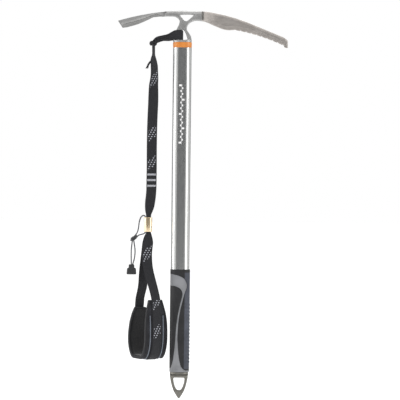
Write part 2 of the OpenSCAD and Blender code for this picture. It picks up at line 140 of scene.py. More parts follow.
class Paint:
    """A material, with short names for the nodes that drive it."""

    def __init__(self, name, colour, roughness, metallic=0.0):
        self.material = bpy.data.materials.new(name)
        self.material.use_nodes = True
        self.tree = self.material.node_tree
        self.shader = self.tree.nodes["Principled BSDF"]
        self.set("Base Color", colour)
        self.set("Roughness", roughness)
        self.set("Metallic", metallic)

    def set(self, socket, value):
        if isinstance(value, bpy.types.NodeSocket):
            self.tree.links.new(value, self.shader.inputs[socket])
        else:
            self.shader.inputs[socket].default_value = value

    def node(self, kind, inputs, output=0, **settings):
        """A node of that kind with its inputs, by name or number, set or linked. Gives one output."""
        made = self.tree.nodes.new("ShaderNode" + kind)
        for key, value in settings.items():
            setattr(made, key, value)
        for key, value in inputs.items():
            if isinstance(value, bpy.types.NodeSocket):
                self.tree.links.new(value, made.inputs[key])
            else:
                made.inputs[key].default_value = value
        return made.outputs[output]

    def place(self, scale=(1, 1, 1), uv=False):
        """Coordinates on the piece in metres, stretched by scale."""
        where = self.node("TexCoord", {}, "UV" if uv else "Object")
        return self.node("Mapping", {"Vector": where, "Scale": scale})

    def math(self, what, *values):
        return self.node("Math", dict(enumerate(values)), operation=what)

    def along(self, axis, uv=False):
        """One coordinate of a point of the piece, in metres."""
        return self.node("SeparateXYZ", {"Vector": self.node("TexCoord", {}, "UV" if uv else "Object")}, axis)

    def wave(self, value, period):
        """From 0 to 1 and back over each period."""
        turn = self.math("SINE", self.math("MULTIPLY", value, TAU / period))
        return self.math("MULTIPLY_ADD", turn, 0.5, 0.5)

    def noise(self, size, detail=3.0, stretch=(1, 1, 1), uv=False):
        """Noise whose grains are about size across."""
        where = self.place(tuple(s / size for s in stretch), uv)
        return self.node("TexNoise", {"Vector": where, "Scale": 1.0, "Detail": detail}, "Fac")

    def cells(self, size, uv=False, what="Distance"):
        where = self.place((1 / size, 1 / size, 1 / size), uv)
        return self.node("TexVoronoi", {"Vector": where, "Scale": 1.0}, what)

    def attribute(self, name):
        return self.node("Attribute", {}, "Fac", attribute_name=name)

    def ramp(self, value, low, high, at_low=0.0, at_high=1.0):
        """at_low below low, at_high above high, and smooth between them."""
        return self.node(
            "MapRange",
            {"Value": value, "From Min": low, "From Max": high, "To Min": at_low, "To Max": at_high},
            interpolation_type="SMOOTHSTEP",
        )

    def blend(self, share, first, second, how="MIX"):
        """Two colours mixed by a share from 0 to 1."""
        return self.node("Mix", {0: share, 6: first, 7: second}, 2, data_type="RGBA", blend_type=how)

    def bump(self, height, depth, under=None):
        """Surface relief, depth metres from the lowest to the highest."""
        inputs = {"Height": height, "Strength": 1.0, "Distance": depth}
        if under is not None:
            inputs["Normal"] = under
        return self.node("Bump", inputs)


def steel_paint(name, light, dark, roughness, streak=(1, 1, 1), painted_shadow_z=None):
    """Blasted or brushed steel: grain, faint streaks, edges rubbed bright, and a painted shadow line at one height."""
    paint = Paint(name, light, roughness, 1.0)
    mottle = paint.noise(14 * MM, 4)
    streaks = paint.noise(0.7 * MM, 2, streak)
    body = paint.blend(paint.ramp(mottle, 0.3, 0.7), dark, light)
    body = paint.blend(paint.ramp(streaks, 0.35, 0.7, 0, 0.1), body, srgb(205, 203, 200))
    worn = paint.ramp(paint.attribute("wear"), 0.1, 0.35, 0, 0.6)
    body = paint.blend(worn, body, srgb(225, 224, 222))
    if painted_shadow_z:
        # A dark band painted at one height: painted shadow under the spike's collar, just below the grip.
        away = paint.math("ABSOLUTE", paint.math("SUBTRACT", paint.along("Z"), painted_shadow_z))
        body = paint.blend(paint.ramp(away, 0.2 * MM, 1.3 * MM, 0.8, 0), body, srgb(52, 50, 46))
    paint.set("Base Color", body)
    paint.set("Roughness", paint.ramp(streaks, 0.2, 0.8, roughness + 0.03, roughness - 0.03))
    grain = paint.bump(paint.noise(0.35 * MM, 2), 0.004 * MM)
    paint.set("Normal", paint.bump(streaks, 0.008 * MM, grain))
    return paint.material


def shaft_paint():
    """Satin anodised aluminium tube, drawn along its length."""
    paint = Paint("shaft_aluminium", srgb(200, 200, 198), 0.2, 1.0)
    lines = paint.noise(0.5 * MM, 3, (1, 1, 0.012))
    clouds = paint.noise(30 * MM, 2, (1, 1, 0.3))
    tone = paint.blend(paint.ramp(lines, 0.3, 0.7), srgb(184, 185, 184), srgb(190, 190, 188))
    tone = paint.blend(paint.ramp(clouds, 0.35, 0.65, 0, 0.25), tone, srgb(176, 178, 180))
    # Pale flecks at random: painted glints where small dents would catch the light.
    painted_glints = paint.ramp(paint.noise(5 * MM, 1, (1, 1, 0.5)), 0.72, 0.78, 0, 0.3)
    paint.set("Base Color", paint.blend(painted_glints, tone, srgb(226, 226, 224)))
    paint.set("Roughness", paint.ramp(lines, 0.25, 0.75, 0.2, 0.22))
    paint.set("Normal", paint.bump(lines, 0.0003 * MM))
    return paint.material


WEB_DARK, WEB_LIGHT = srgb(21, 21, 23), srgb(42, 42, 46)
WARP_PITCH, WEFT_PITCH = 1.1 * MM, 1.3 * MM
# The motifs: length of a row, of a dash across it, how far each row is moved on, and half their width
MOTIF_ROW, MOTIF_DASH, MOTIF_STEP, MOTIF_HALF = 3.6 * MM, 5.1 * MM, 1.7 * MM, 6.4 * MM


def webbing_paint(name, dark=WEB_DARK, light=WEB_LIGHT, motifs=()):
    """Woven webbing by its length and width, with motifs of light threads at some places along it."""
    paint = Paint(name, dark, 0.85)
    across, along = paint.along("X", True), paint.along("Y", True)
    warp = paint.wave(across, WARP_PITCH)
    weft = paint.wave(paint.math("ADD", along, paint.math("MULTIPLY", across, 0.6)), WEFT_PITCH)
    threads = paint.math("MULTIPLY", warp, weft)
    fuzz = paint.noise(0.6 * MM, 3, uv=True)
    tone = paint.blend(paint.ramp(threads, 0.05, 0.8), dark, light)
    tone = paint.blend(paint.ramp(fuzz, 0.4, 0.75, 0, 0.25), tone, srgb(74, 75, 80))
    if motifs:
        slant = paint.math("MULTIPLY_ADD", across, 0.8, along)
        marks = None
        for start, end in motifs:
            middle, half = (start + end) / 2, (end - start) / 2
            inside = paint.math("COMPARE", slant, middle, half)
            marks = inside if marks is None else paint.math("MAXIMUM", marks, inside)
        row = paint.math("MULTIPLY", paint.math("FLOOR", paint.math("DIVIDE", along, MOTIF_ROW)), MOTIF_STEP)
        dash = paint.math("GREATER_THAN", paint.wave(paint.math("ADD", across, row), MOTIF_DASH), 0.62)
        line = paint.math("GREATER_THAN", paint.wave(along, MOTIF_ROW), 0.64)
        edge = paint.math("COMPARE", across, 0.0, MOTIF_HALF)
        for mask in (dash, line, edge):
            marks = paint.math("MULTIPLY", marks, mask)
        tone = paint.blend(paint.math("MULTIPLY", marks, 0.85), tone, srgb(176, 178, 186))
    paint.set("Base Color", tone)
    paint.set("Sheen Weight", 0.06)
    paint.set("Sheen Roughness", 0.5)
    paint.set("Specular IOR Level", 0.25)
    paint.set("Normal", paint.bump(threads, 0.35 * MM))
    return paint.material


# ---------------------------------------------------------------- meshes


def smooth_line(points, per_step):
    """A smooth line through points of any dimension, with per_step stretches between neighbours."""
    p = np.array(points, float)
    p = np.vstack([2 * p[0] - p[1], p, 2 * p[-1] - p[-2]])
    line = []
    for i in range(1, len(p) - 2):
        for t in np.linspace(0, 1, per_step, endpoint=False):
            a, b, c, d = p[i - 1], p[i], p[i + 1], p[i + 2]
            line.append(0.5 * (2 * b + (c - a) * t + (2 * a - 5 * b + 4 * c - d) * t**2
                               + (3 * b - 3 * c + d - a) * t**3))
    line.append(p[-2])
    return np.array(line)


def travel(line):
    """Distance along a line at each of its points."""
    return np.concatenate([[0], np.cumsum(np.linalg.norm(np.diff(line, axis=0), axis=1))])


# Vertices closer than this are one
MERGE = 1e-6


def make_piece(name, verts, faces, material, slot, body=None, corner_uv=None, sharp=40):
    """A mesh piece. body rides it, and corner_uv has one pair for each corner of each face."""
    mesh = bpy.data.meshes.new(name)
    mesh.from_pydata([tuple(v) for v in verts], [], faces)
    if corner_uv is not None:
        layer = mesh.uv_layers.new(name="UVMap")
        layer.data.foreach_set("uv", np.array(corner_uv, np.float32).ravel())
    shape = bmesh.new()
    shape.from_mesh(mesh)
    bmesh.ops.remove_doubles(shape, verts=shape.verts, dist=MERGE)
    bmesh.ops.recalc_face_normals(shape, faces=shape.faces)
    shape.to_mesh(mesh)
    shape.free()
    mesh.polygons.foreach_set("use_smooth", [True] * len(mesh.polygons))
    mesh.set_sharp_from_angle(angle=math.radians(sharp))
    mesh.materials.append(material)
    piece = bpy.data.objects.new(name, mesh)
    bpy.context.collection.objects.link(piece)
    if body:
        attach(piece, body)
    return piece


def repaint(piece, material):
    """Gives a piece one material and smooth shading."""
    piece.data.materials.clear()
    piece.data.materials.append(material)
    piece.data.polygons.foreach_set("use_smooth", [True] * len(piece.data.polygons))


def vectors(mesh, what="co"):
    """The positions, or with "normal" the normals, of a mesh's vertices."""
    values = np.zeros(len(mesh.vertices) * 3)
    mesh.vertices.foreach_get(what, values)
    return values.reshape(-1, 3)


def gather(whole, verts, faces, uvs=None):
    """Adds a part to whole, which is lists of vertices, faces and corner UVs."""
    first = len(whole[0])
    whole[0].extend(verts)
    whole[1].extend(tuple(first + k for k in face) for face in faces)
    whole[2].extend(uvs or [(0, 0)] * sum(len(face) for face in faces))


def remeshed(piece, voxel):
    """Adds a modifier that rebuilds the piece's mesh from cubes of that size."""
    remesh = piece.modifiers.new("remesh", "REMESH")
    remesh.mode = "VOXEL"
    remesh.voxel_size = voxel


def settled(piece):
    """Applies a piece's modifiers to its mesh."""
    bpy.context.view_layer.update()
    made = bpy.data.meshes.new_from_object(piece.evaluated_get(bpy.context.evaluated_depsgraph_get()))
    piece.modifiers.clear()
    piece.data = made


def skin(rings, across, along, closed=True, caps=True):
    """Vertices, faces and corner UVs of a tube over rings of equally many points."""
    count, size = len(rings), len(rings[0])
    verts = np.array(rings).reshape(-1, 3)
    faces, uvs = [], []
    last = size if closed else size - 1
    for i in range(count - 1):
        for j in range(last):
            k = (j + 1) % size
            faces.append((i * size + j, i * size + k, (i + 1) * size + k, (i + 1) * size + j))
            uvs += [(across[j], along[i]), (across[j + 1], along[i]),
                    (across[j + 1], along[i + 1]), (across[j], along[i + 1])]
    if caps:
        for start, order in ((0, range(size - 1, -1, -1)), ((count - 1) * size, range(size))):
            faces.append(tuple(start + j for j in order))
            uvs += [(across[j], along[0 if start == 0 else -1]) for j in order]
    return verts, faces, uvs


def webbing_section(width, thickness, steps=10):
    """A flat section with round edges and slightly thicker selvedges, as (across, out) pairs."""
    side = [math.sin(a) for a in np.linspace(-math.pi / 2, math.pi / 2, steps + 1)]
    pairs = []
    for way in (1, -1):
        for s in side[:-1]:
            round_off = (1 - abs(s) ** 10) ** 0.5
            selvedge = 1 + 0.18 * math.exp(-(((abs(s) - 0.9) / 0.08) ** 2))
            pairs.append((way * s * width / 2, -way * thickness / 2 * round_off * min(selvedge, 1.1)))
    return pairs


def webbing_rings(route, per_step=4):
    """Rings of a strap along a route of x, y, z, width, thickness and turn about Z, in millimetres."""
    line = smooth_line(route, per_step)
    rings = []
    for x, y, z, width, thickness, turn in line:
        turn = math.radians(turn)
        wide = Vector((math.cos(turn), math.sin(turn), 0))
        out = Vector((-math.sin(turn), math.cos(turn), 0))
        middle = Vector((x, y, z))
        rings.append([(middle + wide * a + out * b) * MM for a, b in webbing_section(width, thickness)])
    across = [a * MM for a, _ in webbing_section(line[0][3], line[0][4])]
    return line[:, :3] * MM, rings, across + across[:1]


def add_webbing(name, route, material, slot, node, body=None):
    """A strap along a route, in place of a CAD node. Gives the piece and its middle line."""
    line, rings, across = webbing_rings(route)
    width = max(r[3] for r in route) * MM
    scale = width / (2 * max(across))
    verts, faces, uvs = skin(rings, [a * scale for a in across], travel(line))
    piece = make_piece(name, verts, faces, material, slot, body, uvs, 60)
    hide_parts(node)
    return piece, line


def cord_rings(line, diameter, sides=12, lumps=0.0, pitch=1.0):
    """Rings of a round cord along a line, with frames that don't twist."""
    steps = np.gradient(line, axis=0)
    steps /= np.linalg.norm(steps, axis=1)[:, None]
    side = Vector(np.cross(steps[0], (0.3, 1, 0.2))).normalized()
    rings, before = [], Vector(steps[0])
    for i, (middle, step) in enumerate(zip(line, steps)):
        step = Vector(step)
        side = before.rotation_difference(step) @ side
        other = step.cross(side)
        radius = diameter / 2 * (1 + lumps * math.sin(i * TAU / pitch))
        rings.append([Vector(middle) + (side * math.cos(a) + other * math.sin(a)) * radius
                      for a in np.linspace(0, TAU, sides, endpoint=False)])
        before = step
    return rings


def add_cord_mesh(name, line, diameter, material, slot, body, sides=12):
    """A round cord along a line, in metres."""
    across = [i * math.pi * diameter / sides for i in range(sides + 1)]
    verts, faces, uvs = skin(cord_rings(line, diameter, sides), across, travel(line))
    return make_piece(name, verts, faces, material, slot, body, uvs, 60)


# ---------------------------------------------------------------- the leash's webbing and cords

WEB_W, WEB_T = 17, 1.8
PULL_D = 2.2 * MM
# Routes of x, y, z, width, thickness and turn
STRAP_ROUTE = [
    (-48.5, 0, -46, 7.4, WEB_T, 60), (-48.4, 0, -51, 8.4, WEB_T, 62), (-48.3, 0, -57, 10, WEB_T, 68),
    (-48.2, 0, -64, 13, WEB_T, 72), (-48.2, 0, -72, 16, WEB_T, 55), (-47, 0, -82, WEB_W, WEB_T, 48),
    (-46.5, 0, -94, WEB_W, WEB_T, 46), (-46.6, 0, -104, WEB_W, WEB_T, 39), (-47.6, 0, -114, WEB_W, WEB_T, 28),
    (-47.8, 0, -125, WEB_W, WEB_T, 18), (-47.9, 0, -136, WEB_W, WEB_T, 9), (-48.1, 0, -147, WEB_W, WEB_T, 0),
    (-48.8, 0, -165, WEB_W, WEB_T, 0), (-49.4, 0, -190, WEB_W, WEB_T, 0), (-49.6, 0, -220, WEB_W, WEB_T, 0),
    (-49.4, 0, -248, WEB_W, WEB_T, 0), (-49.4, -1, -260, WEB_W, WEB_T, 0), (-49.6, -1, -290, WEB_W, WEB_T, 0),
]
END_ROUTE = [
    (-49.4, 1, -260, WEB_W, WEB_T, 0), (-49.5, 1, -270, WEB_W, WEB_T, 0), (-49.5, 1, -280, WEB_W, WEB_T, 0),
    (-49.6, 1, -290, WEB_W, WEB_T, 0),
]
DOUBLED_ROUTE = [
    (-49.6, 0, -290, WEB_W, 3.8, 0), (-50.2, 0, -300, WEB_W, 3.8, 0), (-51.3, 0, -310, WEB_W, 3.8, 0),
    (-52.3, 0, -320, 15.5, 3.8, 0), (-53.3, 0, -328, 12, 4.2, 0), (-53.8, 0, -334, 8.6, 4.4, 0),
    (-53.8, 0, -348, 8.6, 4.4, 0), (-53.8, 0, -364.6, 8.6, 4.4, 0),
]
# One leg of the wrist loop: x of the middle, distance from it, z, width and turn
LEG_ROUTE = [
    (-53.6, 1.2, -363.3, 7.2, 0), (-54.2, 1.2, -370, 12.6, 0), (-54.6, 1.2, -379, 16.8, 0),
    (-55.6, 1.3, -389, WEB_W, 2), (-56.5, 1.6, -399, WEB_W, 4), (-56.9, 3.2, -409, WEB_W, 8),
    (-57, 5.6, -419, WEB_W, 12), (-56.4, 8.8, -429, WEB_W, 16), (-55.4, 12.5, -439, WEB_W, 20),
    (-54.3, 16.5, -449, WEB_W, 24), (-53.6, 21, -459, WEB_W, 27), (-53.5, 25, -467, WEB_W, 29),
    (-53.5, 28.4, -474.8, WEB_W, 30),
]
CUFF_TURN = math.radians(-60)
TAG_ROUTE = [(-50.5, 0, -73), (-53.5, 0, -76), (-56.5, 0, -80), (-58.6, 0, -85)]
LOOP_ROUTE = [
    (-78.8, 0, -373), (-76.6, 0, -368.6), (-72.8, 0, -363.4), (-70.6, 0, -356), (-69.6, 0, -347), (-68, 0, -340.5),
    (-65.6, 0, -336), (-62.4, 0, -334.2), (-60.2, 0, -335), (-59.4, 0, -337.2), (-59.4, 0, -349),
    (-59.4, 0, -361.8), (-60.3, 0, -364), (-63.5, 0, -365.6), (-67.6, 0, -366.6), (-71, 0, -368.2),
    (-73.6, 0, -370.4), (-76, 0, -372.2), (-78.6, 0, -373.4),
]
TAIL_LEFT = [(-80.4, 0, -374.5), (-81.9, 0, -388), (-82.3, 0, -398), (-82.2, 0, -408), (-81.9, 0, -416.7)]
TAIL_RIGHT = [(-78.6, 0, -374.5), (-76.4, 0, -388), (-75.9, 0, -397), (-77, 0, -407), (-79.6, 0, -416.7)]


def leg_points(side):
    """The route of the leg in front, side 1, or behind, side -1."""
    return [(x + side * s * math.cos(CUFF_TURN), side * s * math.sin(CUFF_TURN), z, width, WEB_T, turn)
            for x, s, z, width, turn in LEG_ROUTE]


def add_leash_webbing():
    """The strap, its sewn-back end, the doubled stretch and the two legs of the wrist loop."""
    black = webbing_paint("webbing_black")
    marked = webbing_paint("webbing_marked", motifs=[(49 * MM, 69 * MM), (141 * MM, 160 * MM), (192 * MM, 208 * MM)])
    lower = webbing_paint("webbing_leg", motifs=[(25 * MM, 45 * MM)])
    doubled, _ = add_webbing("doubled_webbing", DOUBLED_ROUTE, black, "webbing_black", "strap_doubled")
    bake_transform(doubled)
    end, _ = add_webbing("sewn_back_end", END_ROUTE, black, "webbing_black", "strap_end", LEASH)
    strap, line = add_webbing("upper_webbing", STRAP_ROUTE, marked, "webbing_black", "strap_upper", LEASH)
    for name, node, side, paint in (("front_leg_webbing", "leg_front", 1, lower),
                                    ("back_leg_webbing", "leg_back", -1, black)):
        leg, line = add_webbing(name, leg_points(side), paint, "webbing_black", node)
        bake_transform(leg)


def cord_paint(name, dark, light, pitch=2.2 * MM):
    """Braided cord by its length and girth."""
    paint = Paint(name, dark, 0.8)
    across, along = paint.along("X", True), paint.along("Y", True)
    one = paint.wave(paint.math("ADD", along, across), pitch)
    other = paint.wave(paint.math("SUBTRACT", along, across), pitch)
    braid = paint.math("MAXIMUM", one, other)
    paint.set("Base Color", paint.blend(paint.ramp(braid, 0.3, 0.95), dark, light))
    paint.set("Sheen Weight", 0.2)
    paint.set("Normal", paint.bump(braid, 0.3 * MM))
    return paint.material


def add_pull_cord():
    """The thin cord through the slider, its knot, its two tails and the moulded end that joins them."""
    cord = cord_paint("cord_black", srgb(34, 34, 36), srgb(86, 87, 90))
    end = add_cord_end()
    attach(end, PULL)
    # The knot's cord is a darker copy of the cord's paint: painted shade in the knot's tight turns.
    tie = add_pull_knot(cord_paint("cord_knot_painted_shade", srgb(20, 20, 22), srgb(52, 53, 56)))
    loop_line = smooth_line(LOOP_ROUTE, 5) * MM
    loop = add_cord_mesh("pull_cord_loop", loop_line, PULL_D, cord, "cord_black", SLIDER)
    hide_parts("pull_loop")
    for name, route in (("pull_cord_left_tail", TAIL_LEFT), ("pull_cord_right_tail", TAIL_RIGHT)):
        line = smooth_line(route, 6) * MM
        tail = add_cord_mesh(name, line, PULL_D, cord, "cord_black", PULL)
        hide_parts("pull_tails")


def oval(half_x, half_y, steps=16):
    """Points round an oval with flats across Y, from the middle of its right end."""
    flat = half_x - half_y
    points = []
    for middle, first in ((flat, -90), (-flat, 90)):
        for i in range(steps + 1):
            a = math.radians(first + 180 * i / steps)
            points.append((middle + half_y * math.cos(a), half_y * math.sin(a)))
        quarter, y = math.copysign(flat / 2, middle), points[-1][1]
        points += [(quarter, y), (0.0, y), (-quarter, y)]
    return points


def oval_shell(name, centre, half_x, half_y, profile, material, slot, body, sharp=40):
    """A ring whose section is a closed profile of (outward offset, height), carried round an oval."""
    rings = []
    for offset, z in profile + profile[:1]:
        rings.append([((centre[0] + x) * MM, (centre[1] + y) * MM, z * MM)
                      for x, y in oval(half_x + offset, half_y + offset)])
    base = oval(half_x, half_y)
    across = travel(np.array(base + base[:1])) * MM
    along = travel(np.array(profile + profile[:1])) * MM
    verts, faces, uvs = skin(rings, across, along, caps=False)
    return make_piece(name, verts, faces, material, slot, body, uvs, sharp)


def trefoil(scale, tilt, steps=96):
    """A closed line in the shape of an overhand knot drawn tight, scale across a third of it."""
    t = np.linspace(0, TAU, steps, endpoint=False)
    line = np.stack([np.sin(t) + 2 * np.sin(2 * t), np.cos(t) - 2 * np.cos(2 * t), -1.1 * np.sin(3 * t)], 1) * scale
    c, s = math.cos(tilt), math.sin(tilt)
    x, z = line[:, 0] * 1.2, line[:, 1] * 0.78
    return np.stack([x * c - z * s, line[:, 2], x * s + z * c], 1)


def add_knot(name, centre, scale, wide, thick, tilt, material, slot, body, node):
    """A tight knot of strap or cord, with a small core that closes the gaps between its turns."""
    line = trefoil(scale, tilt)
    steps = np.roll(line, -1, 0) - np.roll(line, 1, 0)
    steps /= np.linalg.norm(steps, axis=1)[:, None]
    rings = []
    for middle, step in zip(line, steps):
        out = middle - step * np.dot(middle, step)
        out /= np.linalg.norm(out)
        side = np.cross(step, out)
        rings.append([np.array(centre) + middle + side * math.cos(a) * wide / 2 + out * math.sin(a) * thick / 2
                      for a in np.linspace(0, TAU, 14, endpoint=False)])
    rings.append(rings[0])
    along = travel(np.vstack([line, line[:1]]))
    across = [i * (wide + thick) / 14 * math.pi / 2 for i in range(15)]
    verts, faces, uvs = skin(rings, across, along, caps=False)
    piece = make_piece(name, verts, faces, material, slot, None, uvs, 60)
    core = bmesh.new()
    core.from_mesh(piece.data)
    ball = bmesh.ops.create_uvsphere(core, u_segments=20, v_segments=12, radius=scale * 1.9)["verts"]
    bmesh.ops.translate(core, verts=ball, vec=centre)
    core.to_mesh(piece.data)
    core.free()
    repaint(piece, material)
    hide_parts(node)
    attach(piece, body)
    return piece


PULL_KNOT = (-78.2, 0, -372.6)
PULL_KNOT_LEAN = 33
PULL_KNOT_TURNS = (-0.5, 3.4)
PULL_KNOT_R, PULL_KNOT_HALF = 2.75, 5.0


def add_pull_knot(cord):
    """Cord wound nearly four times round its own two strands, drawn tight along a diagonal."""
    centre, lean = np.array(PULL_KNOT), math.radians(PULL_KNOT_LEAN)
    axis, up = np.array((math.cos(lean), 0, math.sin(lean))), np.array((-math.sin(lean), 0, math.cos(lean)))
    side = np.cross(axis, up)
    first, last = PULL_KNOT_TURNS
    middle, half = (first + last) / 2, (last - first) / 2
    wraps = []
    for t in np.linspace(first, last, 150):
        share = (t - middle) / half
        tight = math.sqrt(max(0.12, 1 - 0.75 * abs(share) ** 5))
        reach = PULL_KNOT_R * tight + 0.25 * math.sin(t * 2.1)
        around = up * math.cos(t * TAU) + side * math.sin(t * TAU)
        wraps.append(centre + axis * share * PULL_KNOT_HALF + around * reach)
    strands = [[centre + axis * s + up * (lift * 0.7 + s * bend) + side * 0.5 * lift for s in np.linspace(-7, 7, 26)]
               for lift, bend in ((1, 0.12), (-1, -0.06))]
    whole = [], [], []
    for line in (wraps, *strands):
        line = np.array(line) * MM
        gather(whole, *skin(cord_rings(line, PULL_D, 14), [i * 0.49 * MM for i in range(15)], travel(line)))
    verts, faces, uvs = whole
    piece = make_piece("pull_cord_knot", verts, faces, cord, "cord_black", PULL_JOINT, uvs, 60)
    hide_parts("pull_knot")
    return piece


def plastic_paint(name, dark, light, roughness, grain=0.5 * MM):
    """Moulded plastic, clouded and finely grained."""
    paint = Paint(name, dark, roughness)
    speckle = paint.noise(grain, 3)
    paint.set("Base Color", paint.blend(paint.ramp(paint.noise(9 * MM, 3), 0.35, 0.7), dark, light))
    paint.set("Roughness", paint.ramp(speckle, 0.3, 0.7, roughness - 0.06, roughness + 0.1))
    paint.set("Normal", paint.bump(speckle, 0.06 * MM))
    return paint.material


BELL_X, BELL_STEPS = -81.6, 96


def rounded_box_ring(centre, half_w, half_d, z, power=4, steps=BELL_STEPS):
    """A ring of a superellipse, level at z."""
    ring = []
    for a in np.linspace(0, TAU, steps, endpoint=False):
        c, s = math.cos(a), math.sin(a)
        ring.append(((centre + math.copysign(abs(c) ** (2 / power), c) * half_w) * MM,
                     math.copysign(abs(s) ** (2 / power), s) * half_d * MM, z * MM))
    return ring


def add_cord_end():
    """The moulded clamp that joins the two tails: a bell with a neck, a waist line and a rounded foot."""
    profile = [
        (0.5, 0.4, -416.4), (3.4, 2.2, -416.5), (4.3, 3, -416.9), (4.7, 3.3, -417.7), (4.8, 3.4, -421),
        (5, 3.5, -421.5), (4.7, 3.3, -421.9), (5.2, 3.6, -422.3), (6.8, 3.8, -423), (7.5, 3.95, -424),
        (7.7, 4, -426), (8, 4, -430), (8.2, 4, -431.6), (8, 3.8, -432.7), (7.2, 3.2, -433.4), (4, 2, -433.5),
        (0.4, 0.3, -433.5),
    ]
    rings = [rounded_box_ring(BELL_X, w, d, z) for w, d, z in profile]
    across = [i * 0.47 * MM for i in range(BELL_STEPS + 1)]
    along = travel(np.array(profile)) * MM
    verts, faces, uvs = skin(rings, across, along)
    paint = plastic_paint("cord_end_plastic", srgb(20, 21, 23), srgb(30, 31, 33), 0.5)
    piece = make_piece("cord_end_clamp", verts, faces, paint, "cord_end_plastic", None, uvs, 35)
    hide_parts("cord_end")
    return piece


def gold_paint():
    """Gold anodised metal, drawn along its length."""
    paint = Paint("slider_gold", srgb(238, 208, 160), 0.22, 1.0)
    lines = paint.noise(0.5 * MM, 2, (1, 1, 0.03))
    tone = paint.blend(paint.ramp(lines, 0.3, 0.7), srgb(228, 202, 160), srgb(244, 226, 196))
    paint.set("Base Color", tone)
    paint.set("Roughness", paint.ramp(lines, 0.3, 0.7, 0.18, 0.32))
    paint.set("Normal", paint.bump(lines, 0.02 * MM))
    return paint.material


def add_slider():
    """The sleeve that tightens the wrist loop, as a ring with rounded rims."""
    outside = [(-0.8, -361.5), (-0.35, -361.5), (-0.1, -361.3), (0, -360.9), (0, -338.1), (-0.1, -337.7),
               (-0.35, -337.5), (-0.8, -337.5)]
    inside = [(-1, -338), (-1, -349.5), (-1, -361)]
    piece = oval_shell("leash_slider", (-54.5, 0), 6.8, 4.2, outside + inside, gold_paint(), "slider_gold", SLIDER)
    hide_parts("slider_sleeve")


def stitches(rows, radius):
    """Vertices and faces of short threads, each from one point to another."""
    whole = [], [], []
    ends = (0.0, 0.12, 0.5, 0.88, 1.0)
    swell = (0.15, 0.8, 1.0, 0.8, 0.15)
    for a, b in rows:
        a, b = np.array(a), np.array(b)
        step = (b - a) / np.linalg.norm(b - a)
        side = np.cross(step, (0.31, 0.2, 0.93))
        side /= np.linalg.norm(side)
        other = np.cross(step, side)
        rings = [[a + (b - a) * e + (side * math.cos(k) + other * math.sin(k)) * radius * w
                  for k in np.linspace(0, TAU, 6, endpoint=False)] for e, w in zip(ends, swell)]
        gather(whole, *skin(rings, [0] * 7, [0] * 5))
    return whole[:2]


def thread_paint(name, dark, light):
    """Twisted sewing thread."""
    paint = Paint(name, light, 0.7)
    twist = paint.noise(0.4 * MM, 2, (1, 1, 3))
    paint.set("Base Color", paint.blend(paint.ramp(twist, 0.3, 0.7), dark, light))
    paint.set("Sheen Weight", 0.3)
    paint.set("Normal", paint.bump(twist, 0.1 * MM))
    return paint.material


TACK_HEIGHTS = (-265.3, -274.7, -284.3)
# Middle of the strap, width of a bar, half its height, and its distance from the middle of the strap's thickness
TACK_X, TACK_W, TACK_HALF, TACK_Y = -49.5, 14, 1.8, 2.1
TACK_THREADS, TACK_SLANT = 22, 0.32


def add_bar_tacks():
    """Three bars of slanting threads on each side of the strap, through both layers."""
    rows = []
    for z in TACK_HEIGHTS:
        for side in (-1, 1):
            for i in range(TACK_THREADS):
                x = TACK_X - TACK_W / 2 + TACK_W * (i + 0.25) / TACK_THREADS
                y = side * TACK_Y
                rows.append(((x * MM, y * MM, (z - TACK_HALF) * MM),
                             ((x + TACK_SLANT) * MM, y * MM, (z + TACK_HALF) * MM)))
    verts, faces = stitches(rows, 0.4 * MM)
    thread = thread_paint("thread_grey", srgb(120, 121, 126), srgb(176, 177, 182))
    piece = make_piece("bar_tack_threads", verts, faces, thread, "thread_grey", LEASH)
    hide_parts("bar_tacks")


HITCH_T = 1.7
# The hitch round the left leg of the neck: x, y, height of the middle and height of the webbing
HITCH_ROUTE = [
    (-49.5, -0.6, -44.5, 8), (-45.5, -1.6, -40.6, 9.5), (-40, -3, -38, 9.8), (-33, -4.3, -36.2, 8.8),
    (-25, -5.9, -35.2, 10.6), (-18, -7.4, -32.7, 13.2), (-12, -8.1, -30.9, 15.6), (-5, -8.1, -30.7, 16),
    (-1, -7.4, -30.7, 16), (0.2, -4.2, -30.8, 15.6), (0.3, 0, -31, 15.2),
]


def add_hitch():
    """Webbing that goes round the neck's left leg and gathers into folds towards the knot."""
    back = [(x, -y, z, h) for x, y, z, h in reversed(HITCH_ROUTE[:-1])]
    line = smooth_line(HITCH_ROUTE + back, 8)
    plan = line[:, :2]
    steps = np.gradient(plan, axis=0)
    steps /= np.linalg.norm(steps, axis=1)[:, None]
    rings = []
    for (x, y, z, height), (dx, dy) in zip(line, steps):
        fold = min(1.0, max(0.0, (-9 - x) / 16))
        ring = []
        for a, b in webbing_section(height, HITCH_T, 16):
            share = a / height
            coarse, fine = math.sin(share * 17 + x * 0.22), math.sin(share * 39 - x * 0.45)
            out = b + fold * (0.85 * coarse + 0.4 * fine)
            lean = 0.32 * fold * a
            ring.append(((x + dy * out - lean * 0.6) * MM, (y - dx * out) * MM, (z + a) * MM))
        rings.append(ring)
    across = [a * MM for a, _ in webbing_section(16, HITCH_T, 16)]
    verts, faces, uvs = skin(rings, across + across[:1], travel(line[:, :3]) * MM)
    black = webbing_paint("hitch_webbing", srgb(22, 22, 24), srgb(46, 46, 50))
    piece = make_piece("hitch_webbing", verts, faces, black, "webbing_black", AXE, uvs, 60)
    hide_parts("hitch_loop")
    add_knot("leash_tie_knot", (-48.2 * MM, 0, -44.2 * MM), 1.7 * MM, 6.2 * MM, 3.4 * MM, 0.5, black,
             "webbing_black", KNOT, "leash_knot")


